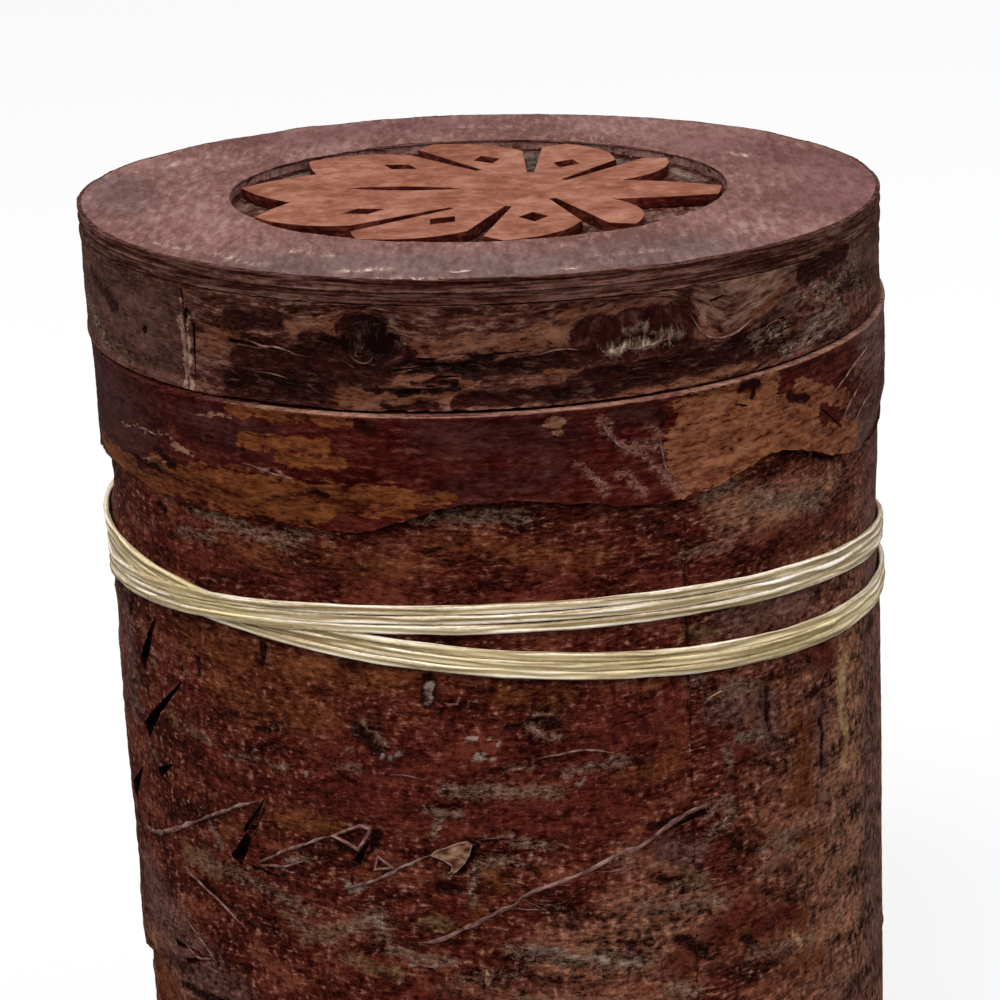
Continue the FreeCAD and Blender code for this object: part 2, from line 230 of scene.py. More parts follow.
def lay_out(piece, radius, seam, flow=None):
    """Gives the piece its map: along the bent sheet from its seam, and up it, in metres.

    Faces that lie flat are mapped from above instead. The flow bends the grain.
    """
    mesh = piece.data
    points = points_of(piece)
    turn = azimuths(points)
    drop = drops(points)
    loop_vertex = read(mesh.loops, "vertex_index", kind=int)
    sizes = read(mesh.polygons, "loop_total", kind=int)
    flat = np.repeat(np.abs(read(mesh.polygons, "normal", 3)[:, 2]) > 0.7, sizes)
    middle = np.repeat((azimuths(read(mesh.polygons, "center", 3)) - seam) % 360, sizes)
    around = (turn[loop_vertex] - seam - middle + 180) % 360 - 180 + middle
    across = np.radians(around) * radius
    up = points[:, 2] if flow is None else points[:, 2] + flow(turn, drop) * MM
    u = np.where(flat, points[loop_vertex, 0], across)
    v = np.where(flat, points[loop_vertex, 1], up[loop_vertex])
    for name, stretch in (("sheet", 1.0), ("along", GRAIN_STRETCH)):
        layer = mesh.uv_layers.new(name=name)
        layer.data.foreach_set("uv", np.column_stack((u / stretch, v)).ravel())


def keep(piece, name, values):
    """Keeps a value at each vertex, which a material reads."""
    attribute = piece.data.attributes.new(name, "FLOAT", "POINT")
    attribute.data.foreach_set("value", np.asarray(values, np.float32))


def mark(piece, name, values):
    """Keeps a value at each vertex, and as a weight for a relief too."""
    keep(piece, name, values)
    group = piece.vertex_groups.new(name=name + "_weight")
    for index in np.nonzero(np.asarray(values) > 0.01)[0]:
        group.add([int(index)], float(values[index]), "REPLACE")


def uneven(across, down, seed):
    """A slow unsteady wave over a surface, between about -1 and 1."""
    first = wander(across + 0.8 * down, 6.1, seed)
    return 0.6 * first + 0.6 * wander(0.7 * across - down, 4.3, seed + 1)


def faded(distance, half_width):
    """How much of a stroke is left at a distance from its line."""
    return ramp(distance / half_width, 1.6, 0.4)


def brushed(piece, radius, strokes):
    """How far each vertex lies in a set of brush strokes: 1 along a full stroke, 0.5 at its edge.

    A stroke is its half width in mm, its strength and its line of (azimuth, drop) points.
    Its course is uneven.
    """
    points = points_of(piece)
    reach = radius / MM * math.pi / 180
    turn = azimuths(points)
    drop = drops(points)
    sideways = 0.5 * uneven(turn * reach, drop, 31) / reach
    drop = drop + 0.4 * uneven(turn * reach, drop, 37)
    turn = turn + sideways
    value = np.zeros(len(points))
    for half_width, strength, line in strokes:
        for (start_turn, start_drop), (end_turn, end_drop) in zip(line, line[1:] or line):
            x = ((turn - start_turn + 180) % 360 - 180) * reach
            y = drop - start_drop
            run_x = (end_turn - start_turn) * reach
            run_y = end_drop - start_drop
            length = run_x ** 2 + run_y ** 2
            share = np.clip((x * run_x + y * run_y) / length, 0, 1) if length else 0.0
            distance = np.hypot(x - share * run_x, y - share * run_y)
            value = np.maximum(value, strength * faded(distance, half_width))
    return value


def painted(piece, radius, marks, face):
    """Marks each named set of strokes on the outer face."""
    for name, strokes in marks.items():
        mark(piece, name, brushed(piece, radius, strokes) * face)


# Ranges of azimuth, and of drop
FAR_SIDE = (96, 264)
NEAR_SIDE = (-84, 84)
OPEN_WALL = (28, 134)
FOOT = (98, 134)


def unseen(seed, count, half_width, strength):
    """Strokes for the far side and the foot, which the photo doesn't show."""
    random = np.random.default_rng(seed)
    strokes = []
    for number in range(count):
        turn, drop = random.uniform(*FAR_SIDE), random.uniform(*OPEN_WALL)
        if number % 3 == 0:
            turn, drop = random.uniform(*NEAR_SIDE), random.uniform(*FOOT)
        run, fall = random.uniform(3, 15), random.uniform(-1.6, 1.6)
        size = half_width * random.uniform(0.5, 1.5)
        strokes.append((size, strength, [(turn, drop), (turn + run, drop + fall)]))
    return strokes


def roughened(piece, grain, height, group, uv_map="", depth=3, hard=False, level=0.5):
    """Moves the surface in and out by noise of that grain size."""
    texture = bpy.data.textures.new(piece.name, "CLOUDS")
    texture.noise_scale = grain * (2 if uv_map else 1)
    texture.noise_depth = depth
    texture.noise_type = "HARD_NOISE" if hard else "SOFT_NOISE"
    settings = {"texture_coords": "UV", "uv_layer": uv_map} if uv_map else {}
    applied(
        piece, "DISPLACE", texture=texture, strength=height, mid_level=level,
        vertex_group=group, **settings,
    )


def pressed(piece, height, group):
    """Moves the surface out, or in where the height is negative, by a group's weights."""
    applied(piece, "DISPLACE", strength=height, mid_level=0.0, vertex_group=group)


def smooth(piece, angle=40):
    deselect()
    piece.select_set(True)
    bpy.context.view_layer.objects.active = piece
    bpy.ops.object.shade_smooth_by_angle(angle=math.radians(angle))


def joined(main, others):
    """Joins the other pieces into the main one."""
    deselect()
    for piece in [main] + others:
        piece.select_set(True)
    bpy.context.view_layer.objects.active = main
    bpy.ops.object.join()
    return main


def through(points, count):
    """A smooth line through the points, as count points."""
    points = np.asarray(points, float)
    padded = np.vstack((2 * points[0] - points[1], points, 2 * points[-1] - points[-2]))
    place = np.linspace(0, len(points) - 1, count)
    start = np.clip(place.astype(int), 0, len(points) - 2)
    t = (place - start)[:, None]
    a, b, c, d = (padded[start + k] for k in range(4))
    return 0.5 * (
        2 * b + (c - a) * t + (2 * a - 5 * b + 4 * c - d) * t ** 2
        + (3 * b - 3 * c + d - a) * t ** 3
    )


def wander(along, period, seed):
    """A slow unsteady wave between about -1 and 1."""
    random = np.random.default_rng(seed)
    value = 0.0
    for share in (1.0, 1.7, 2.9, 4.3):
        shift = random.uniform(0, 6.28)
        value = value + np.sin(along / period * share * 2 * math.pi + shift) / share ** 0.7
    return value / 1.9


def on_wall(turn, drop, radius):
    """A point at an azimuth and a drop, that far from the axis."""
    angle = math.radians(turn)
    return Vector((radius * math.sin(angle), -radius * math.cos(angle), LID_TOP - drop * MM))


# Materials

def linear(code):
    """An sRGB hex colour as the linear colour that the shader wants."""
    parts = [int(code[i:i + 2], 16) / 255 for i in (1, 3, 5)]
    return [c / 12.92 if c <= 0.04045 else ((c + 0.055) / 1.055) ** 2.4 for c in parts] + [1.0]


def add(tree, kind, inputs, output=0, **settings):
    """Adds a node with its settings and gives its output. An input is a value or an output."""
    node = tree.nodes.new(kind)
    for name, value in settings.items():
        setattr(node, name, value)
    for key, value in inputs.items():
        if isinstance(value, bpy.types.NodeSocket):
            tree.links.new(value, node.inputs[key])
        else:
            node.inputs[key].default_value = value
    return node.outputs[output]


# A layer lies where its mask is marked. Its cover is how much of that it takes.
Layer = namedtuple("Layer", "mask dark light ragged edge crumbly cover", defaults=[False, 1.0])
# Lengths and heights in mm
UPRIGHT_GRAIN = (1.0, 1.3)
GRIT = (1.0, 0.35)


def bark_noises(tree, uv_map, sizes, wiggle):
    """A noise for each size: its length and height in mm, and its detail."""
    if uv_map:
        place = add(tree, "ShaderNodeUVMap", {}, uv_map=uv_map)
    else:
        place = add(tree, "ShaderNodeTexCoord", {}, "Object")
    noises = []
    for length, height, detail in sizes:
        depth = height if uv_map else length
        scale = (1000 / length, 1000 / depth, 1000 / height)
        scaled = add(tree, "ShaderNodeMapping", {0: place, 3: scale})
        noises.append(add(
            tree, "ShaderNodeTexNoise",
            {
                "Vector": scaled, "Scale": 1.0, "Detail": detail, "Roughness": 0.62,
                "Distortion": wiggle,
            },
            noise_dimensions="2D" if uv_map else "3D",
        ))
    return noises


def laid_over(tree, colour, layer, spread, light):
    """The colour with a marked layer over it: ragged by the spread, light where that says."""
    marked = add(tree, "ShaderNodeAttribute", {}, "Fac", attribute_name=layer.mask)
    ragged = add(
        tree, "ShaderNodeMath",
        {0: spread, 1: layer.cover * layer.ragged, 2: layer.cover * (1 - 0.75 * layer.ragged)},
        operation="MULTIPLY_ADD",
    )
    ragged = add(tree, "ShaderNodeMath", {0: ragged, 1: marked}, operation="MULTIPLY")
    share = add(
        tree, "ShaderNodeMapRange", {0: ragged, 1: 0.5 - layer.edge, 2: 0.5 + layer.edge}
    )
    tint = add(
        tree, "ShaderNodeMix", {0: light, 6: linear(layer.dark), 7: linear(layer.light)}, 2,
        data_type="RGBA",
    )
    return add(tree, "ShaderNodeMix", {0: share, 6: colour, 7: tint}, 2, data_type="RGBA")


def bark(
    name, ground, patches, grain, layers, roughness, bump, uv_map="sheet", upright="",
    cracks=(4, 0.7, 0.02), crack_tone="#140302", shine=0.03, wiggle=0.3,
    scales=("#7a5444", 0.0, ""), crumb=(1.6, 0.8), mottle=0.4, crest_highlight=("#a07868", 0.0),
):
    """Bark: hollows, middle and crumbs of the ground's three tones, then its marked layers.

    The patches, the grain, the cracks and the crumbs are lengths and heights in mm, and
    the cracks' third number is their width as a share. A layer has a tone for hollows and
    one for crumbs, and the grain makes its border ragged. Scales have thin edges of their
    own tone, most of them in a marked area. The crest highlight is the tone and the share of a
    painted highlight on the highest fibres, where they catch the light. Upright names the mark
    where the grain turns, and there the painted highlight is weaker.
    """
    material = bpy.data.materials.new(name)
    material.use_nodes = True
    tree = material.node_tree
    shader = tree.nodes["Principled BSDF"]
    sizes = (
        (*patches, 3), (*grain, 5), (*UPRIGHT_GRAIN, 5), (*GRIT, 2), (*cracks[:2], 3),
        (*crumb, 4),
    )
    blotch, fine, fine_upright, grit, veins, crumbly = bark_noises(
        tree, uv_map, sizes, wiggle
    )
    fine = add(tree, "ShaderNodeMix", {0: mottle, 2: fine, 3: crumbly}, data_type="FLOAT")
    if upright:
        turned_grain = add(tree, "ShaderNodeAttribute", {}, "Fac", attribute_name=upright)
        fine = add(
            tree, "ShaderNodeMix", {0: turned_grain, 2: fine, 3: fine_upright},
            data_type="FLOAT",
        )
    spread, gritty, lumpy_spread, height = (
        add(tree, "ShaderNodeMath", {0: grit, 1: share, 2: base}, operation="MULTIPLY_ADD")
        for share, base in ((0.5, fine), (0.2, fine), (0.5, crumbly), (0.35, fine))
    )

    crumbs = add(tree, "ShaderNodeMapRange", {0: gritty, 1: 0.44, 2: 0.78})
    lean = add(
        tree, "ShaderNodeMath", {0: blotch, 1: 1.7, 2: -0.85}, operation="MULTIPLY_ADD"
    )
    tone = add(tree, "ShaderNodeMath", {0: crumbs, 1: lean}, operation="ADD")
    toned = add(tree, "ShaderNodeValToRGB", {0: tone})
    elements = toned.node.color_ramp.elements
    elements[0].position = 0.05
    elements[1].position = 0.95
    elements.new(0.45)
    for element, code in zip(elements, ground):
        element.color = linear(code)
    # Painted highlight on the highest fibres, where they catch the light
    crest = add(
        tree, "ShaderNodeMapRange", {0: gritty, 1: 0.665, 2: 0.775, 3: 0.0, 4: crest_highlight[1]}
    )
    if upright:
        highlight_where_upright = add(tree, "ShaderNodeMapRange", {0: turned_grain, 3: 1.0, 4: 0.6})
        crest = add(tree, "ShaderNodeMath", {0: crest, 1: highlight_where_upright}, operation="MULTIPLY")
    colour = add(
        tree, "ShaderNodeMix", {0: crest, 6: toned, 7: linear(crest_highlight[0])}, 2, data_type="RGBA"
    )
    lumps = add(
        tree, "ShaderNodeMapRange", {0: crumbly, 1: 0.4, 2: 0.66},
        interpolation_type="SMOOTHSTEP",
    )
    for layer in layers:
        if layer.crumbly:
            colour = laid_over(tree, colour, layer, lumpy_spread, lumps)
        else:
            colour = laid_over(tree, colour, layer, spread, tone)

    scale_tone, scale_share, scaly = scales
    if scaly:
        marked = add(tree, "ShaderNodeAttribute", {}, "Fac", attribute_name=scaly)
        scale_share = add(
            tree, "ShaderNodeMath", {0: marked, 1: 0.9, 2: scale_share},
            operation="MULTIPLY_ADD", use_clamp=True,
        )
    lines = []
    for noise, level, width, share in (
        (crumbly, 0.54, 0.03, scale_share), (veins, 0.5, cracks[2], 1.0),
    ):
        off = add(tree, "ShaderNodeMath", {0: noise, 1: level}, operation="SUBTRACT")
        off = add(tree, "ShaderNodeMath", {0: off}, operation="ABSOLUTE")
        lines.append(add(
            tree, "ShaderNodeMapRange", {0: off, 1: 0.0, 2: width, 3: share, 4: 0.0}
        ))
    rims, crack = lines
    hollow = add(
        tree, "ShaderNodeMapRange", {0: crumbly, 1: 0.44, 2: 0.54, 3: 0.85, 4: 0.0}
    )
    crack = add(tree, "ShaderNodeMath", {0: crack, 1: hollow}, operation="MULTIPLY")
    # The crests' painted highlight is laid on once more, over all the layers
    high = add(tree, "ShaderNodeMath", {0: crest, 1: 0.6}, operation="MULTIPLY")
    for share, code in ((high, crest_highlight[0]), (rims, scale_tone), (crack, crack_tone)):
        colour = add(
            tree, "ShaderNodeMix", {0: share, 6: colour, 7: linear(code)}, 2,
            data_type="RGBA",
        )

    height = add(
        tree, "ShaderNodeMath", {0: crack, 1: -0.35, 2: height}, operation="MULTIPLY_ADD"
    )
    bumped = add(
        tree, "ShaderNodeBump", {"Strength": 1.0, "Distance": bump * MM, "Height": height}
    )
    tree.links.new(colour, shader.inputs["Base Color"])
    tree.links.new(bumped, shader.inputs["Normal"])
    shader.inputs["Roughness"].default_value = roughness
    shader.inputs["Specular IOR Level"].default_value = shine
    return material


def finished(piece, body, node, slot, *materials):
    """Gives a piece its materials, its body and the node that it stands for. The slot is not used.
    """
    for index, material in enumerate(materials):
        if index < len(piece.data.materials):
            piece.data.materials[index] = material
        else:
            piece.data.materials.append(material)
    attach(piece, body)
    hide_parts(node)
    return piece


# Camera, light and ground

def put_camera():
    """The photograph's view, fitted to the lid's ellipses and the box's sides."""
    elevation = 0.226592
    distance = 8.24705 * LID_RADIUS
    pan_angle, tilt_angle, roll_angle = -0.00207462, -0.0954597, 0.0470441
    lens = 117.94
    target = Vector((0, 0, LID_TOP))
    place = target + distance * Vector((0, -math.cos(elevation), math.sin(elevation)))
    forward = (target - place).normalized()
    right = Vector((1, 0, 0))
    up = right.cross(forward)
    pan = Matrix.Rotation(pan_angle, 3, up)
    forward, right = pan @ forward, pan @ right
    tilt = Matrix.Rotation(tilt_angle, 3, right)
    forward, up = tilt @ forward, tilt @ up
    roll = Matrix.Rotation(roll_angle, 3, forward)
    right, up = roll @ right, roll @ up
    camera = bpy.data.objects.new("camera", bpy.data.cameras.new("camera"))
    camera.data.sensor_width = 36
    camera.data.lens = lens
    camera.data.clip_start = 0.01
    camera.matrix_world = Matrix.Translation(place) @ Matrix(
        (right, up, -forward)
    ).transposed().to_4x4()
    bpy.context.scene.collection.objects.link(camera)
    bpy.context.scene.camera = camera


def put_lamp(name, place, size, power):
    lamp = bpy.data.objects.new(name, bpy.data.lights.new(name, "AREA"))
    lamp.data.shape = "DISK"
    lamp.data.size = size
    lamp.data.energy = power
    aim = Vector((0, 0, 0.1)) - Vector(place)
    turn = aim.to_track_quat("-Z", "Y").to_matrix().to_4x4()
    lamp.matrix_world = Matrix.Translation(place) @ turn
    bpy.context.scene.collection.objects.link(lamp)


def put_studio():
    """A white floor that keeps the shadow, a white surround and soft lamps."""
    bpy.context.scene.view_settings.view_transform = "Standard"
    world = bpy.data.worlds.new("surround")
    bpy.context.scene.world = world
    world.use_nodes = True
    tree = world.node_tree
    rays = add(tree, "ShaderNodeLightPath", {}).node.outputs
    seen = rays["Is Camera Ray"]
    for kind in ("Is Glossy Ray", "Is Transmission Ray"):
        seen = add(tree, "ShaderNodeMath", {0: seen, 1: rays[kind]}, operation="MAXIMUM")
    strength = add(tree, "ShaderNodeMix", {0: seen, 2: 0.6, 3: 1.0}, data_type="FLOAT")
    tree.links.new(strength, tree.nodes["Background"].inputs["Strength"])
    tree.nodes["Background"].inputs["Color"].default_value = (1, 1, 1, 1)
    deselect()
    bpy.ops.mesh.primitive_plane_add(size=6, location=(0, 0, 0))
    floor = bpy.context.object
    floor.name = "floor"
    paper = bpy.data.materials.new("white_paper")
    paper.use_nodes = True
    tree = paper.node_tree
    shader = tree.nodes["Principled BSDF"]
    shader.inputs["Base Color"].default_value = (0.9, 0.9, 0.9, 1)
    shader.inputs["Roughness"].default_value = 0.9
    seen = add(tree, "ShaderNodeLightPath", {}, "Is Camera Ray")
    glow = add(tree, "ShaderNodeEmission", {"Color": (1, 1, 1, 1), "Strength": seen})
    both = add(tree, "ShaderNodeMixShader", {0: 0.75, 1: shader.outputs[0], 2: glow})
    tree.links.new(both, tree.nodes["Material Output"].inputs["Surface"])
    floor.data.materials.append(paper)
    put_lamp("key", (-0.45, -0.8, 1.3), 0.8, 19)
    put_lamp("fill", (0.9, -0.6, 0.9), 1.0, 7)


# What the pieces share

# A knife cut: the (azimuth, drop) of its thin and its thick end, and its size in mm
Cut = namedtuple("Cut", "thin thick width depth")
MM_PER_DEGREE = 0.87
FIBRE_STEP = 0.7


def ribbon(
    name, path, outward, width, thickness, seed, sides=10, crease=0.35, taper=0.0, twist=0.3,
    knots=0.12,
):
    """A folded strip along a path: wide across it, thin outwards, and closed at both ends."""
    count = len(path)
    deselect()
    bpy.ops.mesh.primitive_grid_add(x_subdivisions=count - 1, y_subdivisions=sides, size=2)
    piece = bpy.context.object
    piece.name = name
    piece.data.name = name
    grid = points_of(piece)
    place = np.rint((grid[:, 0] + 1) / 2 * (count - 1)).astype(int)
    round_it = (grid[:, 1] + 1) * math.pi
    ahead = np.gradient(path, axis=0)
    step = np.linalg.norm(ahead, axis=1)
    ahead /= step[:, None]
    across = np.cross(outward, ahead)
    across /= np.linalg.norm(across, axis=1)[:, None]
    out = np.cross(ahead, across)
    along = np.cumsum(step)
    ends = np.minimum(along - along[0], along[-1] - along)
    thin = np.clip(ends / taper, 0.15, 1) if taper else np.ones(count)
    half = width / 2 * thin * (1 + knots * wander(along, 0.021 if knots < 0.2 else 0.005, seed))
    flat = thickness / 2 * thin * (1 + 0.2 * wander(along, 0.013, seed + 1))
    fold = 0.35 * wander(along, 0.033, seed + 2)
    lean = twist * wander(along, 0.041, seed + 3)
    side = np.cos(round_it)
    rise = np.sin(round_it)
    groove = crease * hump(side, fold[place], 0.3)
    y = half[place] * side
    z = flat[place] * np.sign(rise) * np.abs(rise) ** 0.65 * (1 - groove)
    turn = lean[place]
    y, z = y * np.cos(turn) - z * np.sin(turn), y * np.sin(turn) + z * np.cos(turn)
    points = path[place] + across[place] * y[:, None] + out[place] * z[:, None]
    move_points(piece, points)
    # Darker along the crease on the outer side: partly the fold's own colour, partly painted shade
    # in the crease
    keep(piece, "fold", (rise > 0.1) * hump(side, fold[place], 0.42))
    loop_vertex = read(piece.data.loops, "vertex_index", kind=int)
    for layer in list(piece.data.uv_layers):
        piece.data.uv_layers.remove(layer)
    sheet = piece.data.uv_layers.new(name="sheet")
    girth = round_it / (2 * math.pi) * 2.2 * width
    sheet.data.foreach_set(
        "uv", np.column_stack((along[place][loop_vertex], girth[loop_vertex])).ravel()
    )
    bpy.ops.object.mode_set(mode="EDIT")
    bpy.ops.mesh.select_all(action="SELECT")
    bpy.ops.mesh.remove_doubles(threshold=WELD)
    bpy.ops.mesh.fill_holes(sides=0)
    bpy.ops.mesh.select_all(action="SELECT")
    bpy.ops.mesh.normals_make_consistent(inside=False)
    bpy.ops.object.mode_set(mode="OBJECT")
    smooth(piece, 50)
    return piece


def fibres(name, radius, lines, seed, material):
    """Thin fibres that stand out of a wall: half width in mm and (azimuth, drop) points."""
    pieces = []
    for number, (half_width, line) in enumerate(lines):
        length = sum(
            math.hypot((b[0] - a[0]) * MM_PER_DEGREE, b[1] - a[1]) for a, b in zip(line, line[1:])
        )
        flat_path = through(line, max(6, int(length / FIBRE_STEP)))
        place = np.arange(len(flat_path)) * FIBRE_STEP
        flat_path[:, 1] += 0.08 * wander(place, 5.0, seed + number)
        path = np.array([on_wall(turn, drop, radius) for turn, drop in flat_path])
        outward = path * (1, 1, 0)
        piece = ribbon(
            name, path, outward, 2 * half_width * MM, 0.22 * MM,
            seed + number, 6, 0, 2.5 * MM, 0, 0.35,
        )
        piece.data.materials.append(material)
        pieces.append(piece)
    return pieces


def flakes(name, radius, shapes, material, rim_material):
    """Thin flakes that have sprung off a wall, from their corners' azimuth, drop and lift in mm.

    A hollow one is only the flake's rim.
    """
    pieces = []
    for hollow, corners in shapes:
        deselect()
        bpy.ops.mesh.primitive_circle_add(vertices=len(corners), fill_type="NGON")
        piece = bpy.context.object
        piece.name = name
        points = [on_wall(turn, drop, radius + lift * MM) for turn, drop, lift in corners]
        move_points(piece, np.array(points))
        bpy.ops.object.mode_set(mode="EDIT")
        if hollow:
            bpy.ops.mesh.select_all(action="SELECT")
            bpy.ops.mesh.inset(thickness=hollow * MM, depth=0)
            bpy.ops.mesh.delete(type="FACE")
        bpy.ops.object.mode_set(mode="OBJECT")
        applied(piece, "SOLIDIFY", thickness=0.3 * MM, offset=0)
        applied(piece, "BEVEL", width=0.07 * MM, segments=2)
        lay_out(piece, radius, 180)
        normals_out()
        smooth(piece, 50)
        piece.data.materials.append(rim_material if hollow else material)
        pieces.append(piece)
    return pieces


def knife_cuts(piece, radius, cuts, material):
    """Cuts round-bottomed notches into a wall, thin at one end and thick at the other."""
    blades = []
    for cut in cuts:
        thin, thick = (on_wall(*end, radius) for end in (cut.thin, cut.thick))
        along = thin - thick
        out = ((thin + thick) / 2 * Vector((1, 1, 0))).normalized()
        side = out.cross(along).normalized()
        out = along.cross(side).normalized()
        deselect()
        bpy.ops.mesh.primitive_cone_add(
            vertices=12, radius1=0.5, radius2=0.06, depth=1, location=(0, 0, 0)
        )
        blade = bpy.context.object
        turn = Matrix((
            side * cut.width * MM, out * 2 * cut.depth * MM, along
        )).transposed().to_4x4()
        blade.matrix_world = Matrix.Translation((thin + thick) / 2) @ turn
        bpy.ops.object.transform_apply(location=True, rotation=True, scale=True)
        blade.data.materials.append(material)
        blades.append(blade)
    cutter = joined(blades[0], blades[1:])
    normals_out()
    applied(
        piece, "BOOLEAN", operation="DIFFERENCE", object=cutter, solver="MANIFOLD",
        material_mode="TRANSFER",
    )
    bpy.data.objects.remove(cutter)


def slot_where(piece, slot, test):
    """Gives one of the piece's material slots to the faces that pass a test."""
    deselect()
    piece.select_set(True)
    bpy.context.view_layer.objects.active = piece
    bpy.ops.object.mode_set(mode="EDIT")
    select_where("FACE", test)
    piece.active_material_index = slot
    bpy.ops.object.material_slot_assign()
    bpy.ops.object.mode_set(mode="OBJECT")


# Body wall. A stroke is its half width in mm, its strength and its (azimuth, drop) points.

